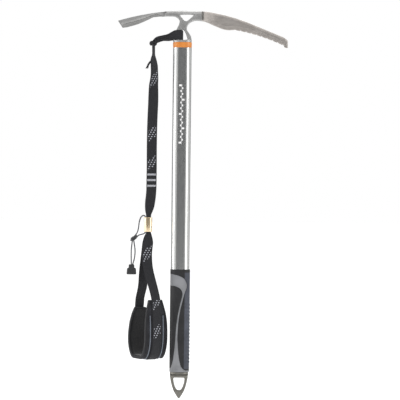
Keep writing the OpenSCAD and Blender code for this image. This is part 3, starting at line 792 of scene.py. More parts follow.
def add_tag():
    """The knot's loose tail, a folded scrap of webbing that frays at its end."""
    line = smooth_line(TAG_ROUTE, 6) * MM
    rings = []
    for i, ring in enumerate(cord_rings(line, 3.4 * MM, 16)):
        middle = Vector(line[i])
        rings.append([middle + (p - middle) * (1 - 0.22 * math.sin(j * 2.4) ** 2) for j, p in enumerate(ring)])
    across = [i * 0.66 * MM for i in range(17)]
    whole = [], [], []
    gather(whole, *skin(rings, across, travel(line)))
    tip, step = line[-1], line[-1] - line[-3]
    step /= np.linalg.norm(step)
    strands = []
    for i in range(14):
        a = i * 2.4
        root = np.array((math.cos(a), math.sin(a) * 0.8, 0)) * (0.3 + 0.09 * i) * MM
        strands.append((tip + root - step * 1.5 * MM, tip + root * 1.7 + step * (2.2 + 0.9 * math.sin(i * 1.7)) * MM))
    gather(whole, *stitches(strands, 0.28 * MM))
    verts, faces, uvs = whole
    black = webbing_paint("tag_webbing", srgb(30, 30, 32), srgb(60, 60, 64))
    piece = make_piece("knot_tail_end", verts, faces, black, "webbing_black", LEASH, uvs, 60)
    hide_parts("strap_tag")


def with_wear(mesh):
    """Writes how far each vertex stands proud of its neighbours, where handling rubs a part bright."""
    co, normal = vectors(mesh), vectors(mesh, "normal")
    count = len(co)
    edges = np.zeros(len(mesh.edges) * 2, int)
    mesh.edges.foreach_get("vertices", edges)
    edges = edges.reshape(-1, 2)
    total, near, size = np.zeros((count, 3)), np.zeros(count), np.zeros(count)
    long = np.linalg.norm(co[edges[:, 0]] - co[edges[:, 1]], axis=1)
    for a, b in ((0, 1), (1, 0)):
        np.add.at(total, edges[:, a], co[edges[:, b]])
        np.add.at(near, edges[:, a], 1)
        np.add.at(size, edges[:, a], long)
    near = np.maximum(near, 1)
    proud = ((co - total / near[:, None]) * normal).sum(1) / np.maximum(size / near, 1e-9)
    layer = mesh.attributes.new("wear", "FLOAT", "POINT")
    layer.data.foreach_set("value", proud.astype(np.float32))


def add_cast(name, node, voxel, rounds, material, cut_below=None, shape=None):
    """A metal part from its CAD solid, with the rounded edges that casting and grinding leave."""
    part = bmesh.new()
    part.from_mesh(bpy.data.objects[node].data)
    bmesh.ops.remove_doubles(part, verts=part.verts, dist=MERGE)
    if cut_below is not None:
        everything = list(part.verts) + list(part.edges) + list(part.faces)
        cut = bmesh.ops.bisect_plane(part, geom=everything, plane_co=(0, 0, cut_below), plane_no=(0, 0, -1),
                                     clear_outer=True)
        rim = [e for e in cut["geom_cut"] if isinstance(e, bmesh.types.BMEdge)]
        bmesh.ops.holes_fill(part, edges=rim)
    mesh = bpy.data.meshes.new(name)
    part.to_mesh(mesh)
    part.free()
    piece = bpy.data.objects.new(name, mesh)
    bpy.context.collection.objects.link(piece)
    remeshed(piece, voxel)
    smooth = piece.modifiers.new("smooth", "SMOOTH")
    smooth.factor = 0.5
    smooth.iterations = rounds
    settled(piece)
    if shape:
        piece.data.vertices.foreach_set("co", shape(vectors(piece.data)).ravel())
        piece.data.update()
    with_wear(piece.data)
    repaint(piece, material)
    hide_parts(node)
    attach(piece, AXE)
    return piece


def sloped(x, points):
    """Height of an open outline at x, in millimetres."""
    return np.interp(x, [q[0] for q in points], [q[1] for q in points])


# The pick's top and under edges, and half its thickness, by x
PICK_TOP = [(33, 9), (46, 8.2), (60, 5.6), (80, 1.4), (107, -7.2), (134, -18.2), (161, -29), (172, -33.6),
            (177, -38.5)]
PICK_UNDER = [(33, -6.4), (40, -8.4), (50, -13), (62, -18.4), (73, -21.6), (82, -21.6), (89, -20.8), (110, -25.3),
              (130, -30.8), (150, -37.8), (178, -50.4)]
PICK_PLAN = [(33, 6.4), (46, 4), (62, 2.46), (100, 2.2), (160, 1.98), (178, 1.7)]


def forged_pick(co):
    """Blends the pick's thickness along it, and grinds its top and its teeth thinner."""
    x, y, z = (co / MM).T
    plan = smooth_line(PICK_PLAN, 12)
    even = np.interp(x, plan[:, 0], plan[:, 1]) / sloped(x, PICK_PLAN)
    over = np.clip(1 - (z - sloped(x, PICK_UNDER)) / 7, 0, 1)
    below = np.clip(1 - (sloped(x, PICK_TOP) - z) / 3, 0, 1)
    blade = np.clip((x - 38) / 20, 0, 1)
    y = y * even * (1 - blade * (0.42 * over + 0.4 * below))
    x = np.where(x < 35, x - 1.5 * (35 - x) / 2, x)
    return np.stack([x, y, z], 1) * MM


# Half the adze's breadth by x, from its root
ADZE_PLAN = [(-27, 6.2), (-33, 7.2), (-40, 10), (-50, 16), (-60, 21.5), (-72, 25.5), (-86, 27), (-112, 27)]
# How deep the adze's rib is under its plate, by x
ADZE_RIB = [(-84, 0), (-78, 0.4), (-70, 1.6), (-60, 3.2), (-44, 4.0), (-27, 4.2)]
# The circles that its plate is bent to lengthwise and across, and that its edge follows
ADZE_CROWN, ADZE_CROWN_X, ADZE_CROWN_Z = 440, 18.3, -429
ADZE_ARCH = 40
ADZE_EDGE, ADZE_EDGE_X = 60, -48.2
ADZE_T = 3.2


def add_adze(steel):
    """A curved, scooped plate with a rib that fades from the neck, ground to an edge at its end."""
    plan = smooth_line(ADZE_PLAN, 10)
    long, wide = 110, 40
    start, half = ADZE_PLAN[0][0], ADZE_PLAN[-1][1]
    top, under = np.zeros((long + 1, wide + 1, 3)), np.zeros((long + 1, wide + 1, 3))
    for i in range(long + 1):
        for j in range(wide + 1):
            share = math.sin((j / wide - 0.5) * math.pi)
            along = i / long
            reach = ADZE_EDGE_X - math.sqrt(ADZE_EDGE**2 - (half * share) ** 2)
            x = start + (reach - start) * along
            y = share * float(np.interp(-x, -plan[:, 0], plan[:, 1]))
            radius = ADZE_CROWN - ADZE_ARCH + math.sqrt(ADZE_ARCH**2 - y**2)
            z = ADZE_CROWN_Z + math.sqrt(radius**2 - (x - ADZE_CROWN_X) ** 2)
            root = min(1, max(0, (x + 46) / 14))
            root = root * root * (3 - 2 * root)
            rib = float(np.interp(x, *zip(*ADZE_RIB))) * (root + (1 - root) * math.exp(-((y / 5.0) ** 2)))
            ground = 1 - 0.8 * (max(0, along - 0.91) / 0.09)
            round_off = (1 - abs(share) ** 14) ** 0.5
            thick = (ADZE_T * ground + rib) * round_off
            lift = 0.35 * (1 - round_off)
            top[i, j] = (x, y, z - lift)
            under[i, j] = (x, y, z - lift - thick)
    rings = [np.vstack([top[i], under[i, -2:0:-1]]) * MM for i in range(long + 1)]
    count = len(rings[0])
    verts, faces, uvs = skin(rings, np.arange(count + 1) * MM, np.arange(long + 1) * 0.7 * MM)
    piece = make_piece("adze", verts, faces, steel, "head_steel", AXE, uvs, 50)
    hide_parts("adze_blade")


WELD_X, WELD_Y, WELD_Z, WELD_LONG = 33.6, 6.1, -5.6, 14.2
WELD_HALF_W, WELD_HIGH = 2.3, 0.75


def add_weld(steel):
    """A bead of overlapping ripples along the joint of the pick, on both faces."""
    steps = 60
    whole = [], [], []
    for way in (-1, 1):
        rings = []
        for i in range(steps + 1):
            z = WELD_Z + WELD_LONG * i / steps
            size = (1 + 0.1 * math.sin(i * TAU / 7)) * math.sqrt(max(0.02, 1 - abs(2 * i / steps - 1) ** 6))
            rings.append([((WELD_X + WELD_HALF_W * size * math.cos(a)) * MM,
                           way * (WELD_Y + WELD_HIGH * size * math.sin(a)) * MM,
                           (z + 0.5 * math.cos(a) ** 2) * MM) for a in np.linspace(0, TAU, 16, endpoint=False)])
        gather(whole, *skin(rings, [0] * 17, [0] * (steps + 1)))
    piece = make_piece("pick_weld_bead", *whole[:2], steel, "weld_steel", AXE, None, 60)
    with_wear(piece.data)
    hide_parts("pick_weld")


PIN_HALF = 15.3


def add_pins(steel):
    """The pins that lock the head and the spike, with slightly domed ends."""
    for name, node, z, r, slot in (("head_rivet", "head_pin", -75, 2.5, "head_steel"),
                                   ("spike_rivet", "spike_pin", -569, 2.0, "spike_steel")):
        dome = [(0.05, PIN_HALF + 0.16), (r * 0.5, PIN_HALF + 0.12), (r * 0.85, PIN_HALF + 0.02), (r, PIN_HALF - 0.15)]
        profile = [(w, -x) for w, x in dome] + [(r, 0)] + dome[::-1]
        rings = [[(x * MM, radius * math.cos(a) * MM, (z + radius * math.sin(a)) * MM)
                  for a in np.linspace(0, TAU, 28, endpoint=False)] for radius, x in profile]
        verts, faces, uvs = skin(rings, [i * 0.5 * MM for i in range(29)], travel(np.array(profile)) * MM)
        piece = make_piece(name, verts, faces, steel, slot, AXE, uvs, 40)
        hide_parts(node)


def add_band():
    """The coloured spacer between the head's collar and the tube, with a step at its lower edge."""
    paint = plastic_paint("band_orange", srgb(188, 112, 38), srgb(198, 124, 48), 0.34, 0.4 * MM)
    outside = [(-0.6, -43.0), (0, -43.05), (0.25, -43.4), (0.3, -44.2), (0.3, -49.6), (0.2, -49.9), (-0.05, -50),
               (-0.05, -50.3), (0.1, -50.4), (0.1, -51.6), (-0.1, -51.95), (-0.6, -52)]
    piece = oval_shell("head_spacer_band", (0, 0), 15.5, 9.8, outside + [(-1.3, -52), (-1.3, -43)], paint,
                       "band_orange", AXE, 30)
    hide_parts("head_band")


SCALE_LOW, SCALE_HIGH, SCALE_PITCH, SCALE_BLOCKS = -214, -114, 4.8, 21
PRINT_Y, PRINT_T = -9.8, 0.06


def add_scale():
    """A printed depth scale on the front flat: plain blocks on alternate sides of a thin line."""
    ink = Paint("print_white", srgb(236, 236, 234), 0.6)
    chips = ink.noise(0.8 * MM, 3)
    ink.set("Base Color", ink.blend(ink.ramp(chips, 0.25, 0.4), srgb(190, 190, 189), srgb(214, 214, 213)))
    ink.set("Normal", ink.bump(chips, 0.01 * MM))
    blocks = [(-0.3, 0.3, SCALE_LOW, SCALE_HIGH)]
    for i in range(SCALE_BLOCKS):
        z = SCALE_LOW + SCALE_PITCH * i
        side = 1 if i % 2 else -1
        wide = 2.4 if i % 5 else 4.6
        blocks.append((min(0, side * wide), max(0, side * wide), z + 0.9, z + 3.9))
    box = [(0, 1, 2, 3), (7, 6, 5, 4), (0, 4, 5, 1), (1, 5, 6, 2), (2, 6, 7, 3), (3, 7, 4, 0)]
    whole = [], [], []
    for x0, x1, z0, z1 in blocks:
        corners = ((x0, z0), (x1, z0), (x1, z1), (x0, z1))
        gather(whole, [(x * MM, y * MM, z * MM) for y in (PRINT_Y, PRINT_Y - PRINT_T) for x, z in corners], box)
    make_piece("printed_scale", *whole[:2], ink.material, None, AXE, None, 30)


def add_head():
    """The casting, the pick, the adze, their weld and pins, the spacer band and the print on the shaft."""
    cast = steel_paint("head_steel", srgb(124, 124, 123), srgb(111, 111, 110), 0.46)
    bridge = steel_paint("bridge_steel", srgb(168, 168, 167), srgb(152, 152, 151), 0.46)
    forged = steel_paint("pick_steel", srgb(178, 172, 167), srgb(164, 158, 153), 0.42, (0.04, 1, 1))
    weld = steel_paint("weld_steel", srgb(118, 115, 112), srgb(92, 90, 88), 0.5)
    add_cast("head_bridge", "head_casting", 0.5 * MM, 8, bridge, -43.6 * MM)
    add_cast("pick", "pick_blade", 0.45 * MM, 4, forged, None, forged_pick)
    add_adze(cast)
    add_weld(weld)
    add_pins(cast)
    add_band()
    add_scale()


def add_spike():
    """The spike, with a painted shadow line under its collar, where it leaves the grip."""
    # The last argument is the height of the painted shadow line under the collar.
    steel = steel_paint("spike_steel", srgb(110, 108, 102), srgb(99, 97, 91), 0.44, (1, 1, 0.3), -600.3 * MM)
    add_cast("spike_point", "spike", 0.45 * MM, 6, steel)


# ---------------------------------------------------------------- the grip

TIP = -641
GRIP_LOW, GRIP_HIGH = 45, 217
GRIP_X, GRIP_Y, GRIP_SHIFT = 16.6, 11.0, 0.3
GRIP_ARC = GRIP_Y * math.pi / 2
GRIP_FLAT = 2 * (GRIP_X - GRIP_Y)
GRIP_HALF = 2 * GRIP_ARC + GRIP_FLAT
# The grey inlay's left and right edges on a face: x and height over the tip of the spike
INLAY_LEFT = [(-18, 45), (-18, 48.6), (-16.5, 50.6), (-14, 53), (-11, 63), (-9, 75), (-7, 95), (-5.5, 118),
              (-3.5, 136), (0, 155), (3, 167), (4.6, 175), (3.4, 181), (-0.8, 186), (-7, 188.6), (-12, 189.6),
              (-18, 190), (-18, 210)]
INLAY_RIGHT = [(18, 45), (18, 47.4), (13, 47.9), (9, 48.9), (5, 52), (2, 58), (-0.5, 70), (-2.3, 88), (-3, 105),
               (-2, 125), (0.5, 145), (6, 169), (9.5, 180), (11.9, 187), (11.7, 193.5), (7, 201.5), (-2, 206.5),
               (-9, 208.2), (-18, 210)]
PAD_LOW, PAD_HIGH, PAD_X = 50, 212, 8
RIB_FIRST, RIB_PITCH, RIB_COUNT = 61.5, 6, 17


def around_grip(x):
    """How far round a face of the grip from its left edge a point is, by its x."""
    x = np.asarray(x, float) - GRIP_SHIFT
    half = GRIP_FLAT / 2
    left = GRIP_Y * np.arccos(np.clip((-half - x) / GRIP_Y, 0, 1))
    right = GRIP_HALF - GRIP_Y * np.arccos(np.clip((x - half) / GRIP_Y, 0, 1))
    return np.where(x < -half, left, np.where(x > half, right, GRIP_ARC + x + half))


def on_grip(around, height, out, side):
    """Points on the front, side -1, or the back, side 1, of the grip, moved outward."""
    half = GRIP_FLAT / 2
    a = np.clip(around, 0, GRIP_ARC) / GRIP_Y
    b = np.clip(GRIP_HALF - around, 0, GRIP_ARC) / GRIP_Y
    flat = np.clip(around - GRIP_ARC, 0, GRIP_FLAT) - half
    x = flat - (GRIP_Y + out) * np.cos(a) + (GRIP_Y + out) * np.cos(b)
    y = (GRIP_Y + out) * np.minimum(np.sin(a), np.sin(b))
    return np.stack([x + GRIP_SHIFT, side * y, height + TIP + 0 * around], -1) * MM


def inlay_edges(heights):
    """Both edges of the inlay at some heights, as distances round a face, and the edges as one line."""
    edges = []
    for points in (INLAY_LEFT, INLAY_RIGHT):
        line = smooth_line(points, 50)
        line[:, 1] = np.maximum.accumulate(line[:, 1])
        edges.append(line)
    left, right = (around_grip(np.interp(heights, e[:, 1], e[:, 0])) for e in edges)
    gone = heights > INLAY_RIGHT[-1][1]
    left[gone], right[gone] = 0, 0
    lines = np.vstack([np.stack([around_grip(e[:, 0]), e[:, 1]], 1) for e in edges])
    lines = lines[(lines[:, 0] > 0.02) & (lines[:, 0] < GRIP_HALF - 0.02)]
    return left, right, lines


def edge_distance(around, height, lines):
    """How far points round the grip are from the inlay's edges."""
    flat = np.stack([around.ravel(), height.ravel()], 1)
    near = np.full(len(flat), 99.0)
    for q in lines:
        near = np.minimum(near, np.hypot(flat[:, 0] - q[0], flat[:, 1] - q[1]))
    return near.reshape(around.shape)


def thick_sheet(name, top, under, uv, quads, material, slot, body, sharp):
    """A closed solid between two sheets with the same quads. Quads without area are left out."""
    _, first, same = np.unique(np.round(top / MERGE).astype(int), axis=0, return_index=True, return_inverse=True)
    same = same.ravel()
    faces, uvs, walls = [], [], {}
    for quad in quads:
        face, corner = [], []
        for i in quad:
            if same[i] not in face:
                face.append(int(same[i]))
                corner.append(uv[i])
        if len(face) < 3:
            continue
        faces.append(face)
        uvs.append(corner)
        for n, a in enumerate(face):
            m = (n + 1) % len(face)
            if (face[m], a) in walls:
                del walls[(face[m], a)]
            else:
                walls[(a, face[m])] = (corner[n], corner[m])
    count = len(first)
    verts = np.vstack([top[first], under[first]])
    for face, corner in list(zip(faces, uvs)):
        faces.append([i + count for i in reversed(face)])
        uvs.append(corner[::-1])
    for (a, b), (at_a, at_b) in walls.items():
        faces.append([b, a, a + count, b + count])
        uvs.append([at_b, at_a, at_a, at_b])
    flat = [pair for corner in uvs for pair in corner]
    return make_piece(name, verts, faces, material, slot, body, flat, sharp)


def grid_quads(rows, columns, first=0, flipped=False):
    """The quads of a grid of points whose first point has number first."""
    quads = []
    for i in range(rows - 1):
        for j in range(columns - 1):
            a = first + i * columns + j
            quad = (a, a + 1, a + columns + 1, a + columns)
            quads.append(quad[::-1] if flipped else quad)
    return quads


def both_faces(around, height, out, depth):
    """Points, lower points, UVs and quads of the same sheet on the grip's front and back."""
    rows, columns = around.shape
    top = [on_grip(around, height, out, side).reshape(-1, 3) for side in (-1, 1)]
    under = [on_grip(around, height, depth, side).reshape(-1, 3) for side in (-1, 1)]
    uv = np.stack([around.ravel(), height.ravel() + 0 * around.ravel()], 1) * MM
    back = uv * (-1, 1)
    quads = grid_quads(rows, columns) + grid_quads(rows, columns, rows * columns, True)
    return np.vstack(top), np.vstack(under), [tuple(q) for q in np.vstack([uv, back])], quads


def shares(count, crowd=0.0):
    """count + 1 shares from 0 to 1, closer together at both ends by crowd."""
    t = np.linspace(0, 1, count + 1)
    return t * (1 - crowd) + crowd * (1 - np.cos(t * math.pi)) / 2


def rubber_paint(name, dark, light, roughness, size, depth):
    """Moulded rubber with a fine grain, in patches, and scuffed in places. Gives the Paint itself."""
    paint = Paint(name, dark, roughness)
    grain = paint.cells(size)
    patches = paint.noise(18 * MM, 4)
    tone = paint.blend(paint.ramp(patches, 0.3, 0.7), dark, light)
    worn = paint.ramp(paint.noise(2.5 * MM, 4), 0.6, 0.72, 0, 0.07)
    paint.set("Base Color", paint.blend(worn, tone, srgb(112, 113, 116)))
    paint.set("Roughness", paint.ramp(patches, 0.3, 0.7, roughness - 0.07, roughness + 0.07))
    paint.set("Specular IOR Level", 0.35)
    paint.set("Normal", paint.bump(grain, depth))
    return paint


def grip_heights():
    """Rows of the grip, closer where the inlay's edges run across it."""
    rows = list(np.arange(GRIP_LOW, GRIP_HIGH + 0.01, 0.9))
    for points in (INLAY_LEFT, INLAY_RIGHT):
        rows += [h for _, h in smooth_line(points, 12)]
    for inward in (0.15, 0.35, 0.6):
        rows += [GRIP_LOW + inward, GRIP_HIGH - inward]
    rows += [PAD_LOW - 0.1, PAD_LOW + 0.3, PAD_HIGH - 0.3, PAD_HIGH + 0.1]
    kept = [GRIP_LOW]
    for h in sorted(rows):
        if h - kept[-1] > 0.06 and h < GRIP_HIGH - 0.03:
            kept.append(h)
    return np.array(kept + [GRIP_HIGH])


def pad_edge(heights):
    """Where the traction pad begins round a face, at some heights."""
    _, right, _ = inlay_edges(heights)
    return np.minimum(np.maximum(around_grip(PAD_X), right + 0.7), GRIP_HALF - 1)


def grip_layer(name, around, height, out, under, paint, slot, sharp, node):
    """A part of the grip on its front and its back, solid between out and under."""
    top, low, uv, quads = both_faces(around, height, out, np.full(around.shape, under))
    piece = thick_sheet(name, top, low, uv, quads, paint.material, slot, AXE, sharp)
    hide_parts(node)


def add_grip():
    """The sleeve, its inlay and its pad. The first two share their rows and the inlay's edges."""
    heights = grip_heights()
    left, right, lines = inlay_edges(heights)
    add_sleeve(heights, left, right, lines)
    add_inlay(heights, left, right, lines)
    add_traction_pad()


# How far the inlay's bed and the sleeve's inside lie under its surface, and the rounding of its ends
SLEEVE_SUNK, SLEEVE_UNDER, SLEEVE_ROUND = -0.95, -1.5, 0.7


def add_sleeve(heights, left, right, lines):
    """The black sleeve, with a bed for the inlay, a lower one for the pad, and round ends."""
    black = rubber_paint("grip_black", srgb(20, 20, 22), srgb(30, 30, 32), 0.55, 0.5 * MM, 0.05 * MM)
    edge = pad_edge(heights)
    parts = [np.zeros((len(heights), 1)) + left[:, None] * shares(14, 0.5),
             left[:, None] + (right - left)[:, None] * shares(22, 0.7),
             right[:, None] + (edge - right)[:, None] * shares(16, 0.5),
             edge[:, None] + (GRIP_HALF - edge)[:, None] * shares(24)]
    around = np.hstack(parts)
    inlay_at, right_at, pad_at = np.cumsum([part.shape[1] for part in parts[:3]])
    height = heights[:, None] + 0 * around
    near = edge_distance(around, height, lines)
    lip = -0.45 * np.clip(1 - near / 0.8, 0, 1) ** 2
    inside = np.zeros(around.shape, bool)
    inside[:, inlay_at:right_at] = (right - left > 0.05)[:, None]
    inside[:, :inlay_at] |= ((left < 0.05) & (right > 0.05))[:, None]
    out = np.where(inside, SLEEVE_SUNK, lip)
    behind_pad = (heights > PAD_LOW - 0.05) & (heights < PAD_HIGH + 0.05)
    out[:, pad_at:] = np.where(behind_pad[:, None], -0.6, out[:, pad_at:])
    by_pad = np.clip(1 - (edge[:, None] - around[:, right_at:pad_at]) / 0.6, 0, 1)
    out[:, right_at:pad_at] -= 0.3 * np.where(behind_pad[:, None], by_pad, 0) ** 2
    end = np.minimum(heights - GRIP_LOW, GRIP_HIGH - heights)[:, None]
    out = out - SLEEVE_ROUND * (1 - np.sqrt(1 - (1 - np.clip(end / SLEEVE_ROUND, 0, 1)) ** 2))
    grip_layer("grip_body", around, height, out, SLEEVE_UNDER, black, "grip_black", 45, "grip_sleeve")


INLAY_OUT, INLAY_UNDER, INLAY_RIDGES = -0.08, -0.98, 0.95 * MM


def add_inlay(heights, left, right, lines):
    """The grey second shot of rubber between its two edges, finely ridged along the grip."""
    grey = rubber_paint("grip_grey", srgb(108, 109, 112), srgb(124, 125, 128), 0.5, 0.4 * MM, 0.02 * MM)
    ridge = grey.wave(grey.along("X", True), INLAY_RIDGES)
    grey.set("Normal", grey.bump(ridge, 0.16 * MM))
    rows = right - left > 0.05
    around = (left[:, None] + (right - left)[:, None] * shares(30, 0.6))[rows]
    height = heights[rows][:, None] + 0 * around
    near = edge_distance(around, height, lines)
    end = (height - GRIP_LOW) / 0.5
    out = INLAY_OUT - 0.5 * np.clip(1 - near / 0.55, 0, 1) ** 2 - 0.4 * np.clip(1 - end, 0, 1) ** 2
    grip_layer("grip_grey_inlay", around, height, out, INLAY_UNDER, grey, "grip_grey", 50, "grip_inlay")


PAD_OUT, PAD_UNDER, PAD_ROUND = -0.02, -0.8, 0.6
# The ribs' half width and height, and the dots' radius, height and distance from the pad's edge
RIB_HALF, RIB_HIGH, DOT_R, DOT_HIGH, DOT_IN = 1.7, 0.62, 1.0, 0.4, 2.0


def add_traction_pad():
    """The blue-grey pad, with ribs across it and a dot between each two of them."""
    blue = rubber_paint("pad_rubber", srgb(52, 55, 64), srgb(66, 69, 79), 0.62, 0.35 * MM, 0.04 * MM)
    heights = np.arange(PAD_LOW, PAD_HIGH + 0.01, 0.45)
    start = pad_edge(heights)
    around = start[:, None] + (GRIP_HALF - start)[:, None] * shares(34, 0.4)
    height = heights[:, None] + 0 * around
    in_by = np.minimum(np.minimum(around - start[:, None], height - PAD_LOW), PAD_HIGH - height)
    out = PAD_OUT - 0.55 * np.clip(1 - in_by / PAD_ROUND, 0, 1) ** 2
    step = (height - RIB_FIRST) / RIB_PITCH
    nearest = np.clip(np.round(step), 0, RIB_COUNT - 1)
    rib = np.clip(1 - ((step - nearest) * RIB_PITCH / RIB_HALF) ** 2, 0, 1) ** 0.7
    fade = np.clip((in_by - 2.6) / 1.6, 0, 1)
    out = out + RIB_HIGH * rib * fade * fade * (3 - 2 * fade)
    gap = np.clip(np.round(step - 0.5), -1, RIB_COUNT - 1) + 0.5
    dot = np.hypot(around - start[:, None] - DOT_IN, (step - gap) * RIB_PITCH)
    out = out + DOT_HIGH * np.sqrt(np.clip(1 - (dot / DOT_R) ** 2, 0, 1))
    grip_layer("grip_traction_pad", around, height, out, PAD_UNDER, blue, "pad_rubber", 50, "traction_pad")


# ---------------------------------------------------------------- the cuff

CUFF_X, CUFF_STEPS = -53.5, 190
CUFF_END, CUFF_BACK_END = -475, -490
CUFF_SIDE = [(27.5, CUFF_END), (30, -495), (31.6, -515), (32, -535)]
# The quarter of an ellipse at the bottom: its middle's distance and height, and its half axes
CUFF_CORNER = (12, -535, 20, 38.5)
# Half the cuff's width by height
FRONT_WIDTH = [(12.5, -475), (15.2, -485), (18.2, -497), (20.2, -512), (20.8, -530), (20.6, -580)]
BACK_WIDTH = [(10.6, -490), (14.5, -500), (17.8, -513), (20, -530), (20.8, -548), (20.6, -580)]
# How thick the foam and its lining are
PAD_T, LINING_T = 4.5, 0.8


def cuff_line(back_end=CUFF_BACK_END):
    """Points of the cuff's hanging line from its front end to its back end, and its outward directions."""
    x, z, a, b = CUFF_CORNER
    half = [tuple(q) for q in smooth_line(CUFF_SIDE, 10)[:-1]]
    half += [(x + a * math.cos(t), z - b * math.sin(t)) for t in np.linspace(0, math.pi / 2, 40)]
    line = np.array(half + [(-p, q) for p, q in reversed(half)])
    way = travel(line)
    keep = np.linspace(0, way[-1], CUFF_STEPS)
    line = np.stack([np.interp(keep, way, line[:, 0]), np.interp(keep, way, line[:, 1])], 1)
    step = np.gradient(line, axis=0)
    step /= np.linalg.norm(step, axis=1)[:, None]
    out = np.stack([-step[:, 1], step[:, 0]], 1)
    kept = (line[:, 0] > 0) | (line[:, 1] < back_end)
    return line[kept], out[kept]


def cuff_width(line):
    """Half the cuff's width at each point of its line."""
    front, back = (np.interp(-line[:, 1], [-z for _, z in widths], [w for w, _ in widths])
                   for widths in (FRONT_WIDTH, BACK_WIDTH))
    share = np.clip((line[:, 0] + 20) / 40, 0, 1)
    return back + (front - back) * share


def on_cuff(line, out, i, pairs):
    """Points in metres at place i of the cuff's line, from pairs of (across, outward)."""
    pairs = np.array(pairs, float)
    along = line[i, 0] + out[i, 0] * pairs[:, 1]
    z = line[i, 1] + out[i, 1] * pairs[:, 1]
    c, s = math.cos(CUFF_TURN), math.sin(CUFF_TURN)
    return np.stack([CUFF_X + along * c - pairs[:, 0] * s, along * s + pairs[:, 0] * c, z], 1) * MM


def in_cuff(co, line, out):
    """Across, outward and the nearest place on the line, for points in metres."""
    c, s = math.cos(CUFF_TURN), math.sin(CUFF_TURN)
    x, y, z = (co / MM).T
    along, across = (x - CUFF_X) * c + y * s, -(x - CUFF_X) * s + y * c
    spot = np.stack([along, z], 1)
    place = np.array([np.argmin(((line - q) ** 2).sum(1)) for q in spot])
    return across, ((spot - line[place]) * out[place]).sum(1), place


def fabric_paint(name, dark, light, pitch, depth, sheen):
    """Woven fabric: fine threads both ways, soft creases and a little lint."""
    paint = Paint(name, dark, 0.9)
    warp, weft = (paint.wave(paint.along(axis, True), pitch) for axis in ("X", "Y"))
    weave = paint.math("MULTIPLY", warp, weft)
    lint = paint.ramp(paint.noise(1.2 * MM, 4), 0.62, 0.7, 0, 0.3)
    tone = paint.blend(paint.ramp(paint.noise(12 * MM, 4), 0.3, 0.7), dark, light)
    tone = paint.blend(paint.math("MULTIPLY", weave, 0.5), tone, light)
    paint.set("Base Color", paint.blend(lint, tone, srgb(84, 85, 90)))
    paint.set("Sheen Weight", sheen)
    paint.set("Specular IOR Level", 0.2)
    creases = paint.bump(paint.noise(5 * MM, 3), 0.5 * MM)
    paint.set("Normal", paint.bump(weave, depth, creases))
    return paint.material


def fleece_paint(name, dark, light):
    """Brushed pile: short, matt tufts."""
    paint = Paint(name, dark, 1.0)
    tufts = paint.noise(0.9 * MM, 5)
    clumps = paint.noise(4 * MM, 3)
    tone = paint.blend(paint.ramp(tufts, 0.3, 0.7), dark, light)
    paint.set("Base Color", paint.blend(paint.ramp(clumps, 0.35, 0.7, 0, 0.4), tone, light))
    paint.set("Sheen Weight", 0.3)
    paint.set("Sheen Roughness", 0.6)
    paint.set("Specular IOR Level", 0.1)
    paint.set("Normal", paint.bump(tufts, 0.5 * MM, paint.bump(clumps, 0.6 * MM)))
    return paint.material


PUFF_VOXEL, PUFF_FRAMES, PUFF_PRESSURE, PUFF_STIFFNESS = 1.9 * MM, 20, 4, 12
PUFF_CAP = 1.7 * MM
PUFF_SEAM, PUFF_SEAM_HALF = 6.6, 0.8


def puffed(piece, line, out):
    """Rounds the pad: rebuilt from cubes, run as cloth under pressure, and smoothed.

    Its outer side, its borders and two seams are held. The pressure moves the rest by 0.13 mm at most, so the
    pad's shape is nearly the one that it comes with.
    """
    remeshed(piece, PUFF_VOXEL)
    settled(piece)
    before = vectors(piece.data)
    across, outward, place = in_cuff(before, line, out)
    width = cuff_width(line)[place]
    held = (outward > -1.4) | (np.abs(across) > width - 3.4) | (place < 6) | (place > len(line) - 7)
    seam = np.abs(np.abs(across) - PUFF_SEAM) < PUFF_SEAM_HALF
    group = piece.vertex_groups.new(name="held")
    group.add([int(i) for i in np.nonzero(held | seam)[0]], 1.0, "REPLACE")
    cloth = piece.modifiers.new("cloth", "CLOTH")
    cloth.settings.use_pressure = True
    cloth.settings.uniform_pressure_force = PUFF_PRESSURE
    cloth.settings.vertex_group_mass = "held"
    cloth.settings.tension_stiffness = cloth.settings.compression_stiffness = PUFF_STIFFNESS
    cloth.settings.effector_weights.gravity = 0
    cloth.point_cache.frame_start, cloth.point_cache.frame_end = 1, PUFF_FRAMES
    for step in range(1, PUFF_FRAMES + 1):
        bpy.context.scene.frame_set(step)
    settled(piece)
    bpy.context.scene.frame_set(1)
    move = vectors(piece.data) - before
    far = np.linalg.norm(move, axis=1)
    move *= (np.minimum(far, PUFF_CAP) / np.maximum(far, 1e-9))[:, None]
    piece.data.vertices.foreach_set("co", (before + move).ravel())
    smooth = piece.modifiers.new("smooth", "SMOOTH")
    smooth.iterations = 2
    finer = piece.modifiers.new("finer", "SUBSURF")
    finer.levels = finer.render_levels = 1
    settled(piece)


def flat_uv(mesh, line, out):
    """UVs in metres by distance across and along the cuff."""
    across, _, place = in_cuff(vectors(mesh), line, out)
    along = travel(line)[place]
    loops = np.zeros(len(mesh.loops), int)
    mesh.loops.foreach_get("vertex_index", loops)
    layer = mesh.uv_layers.new(name="UVMap")
    uv = np.stack([across[loops], along[loops]], 1) * MM
    layer.data.foreach_set("uv", uv.astype(np.float32).ravel())


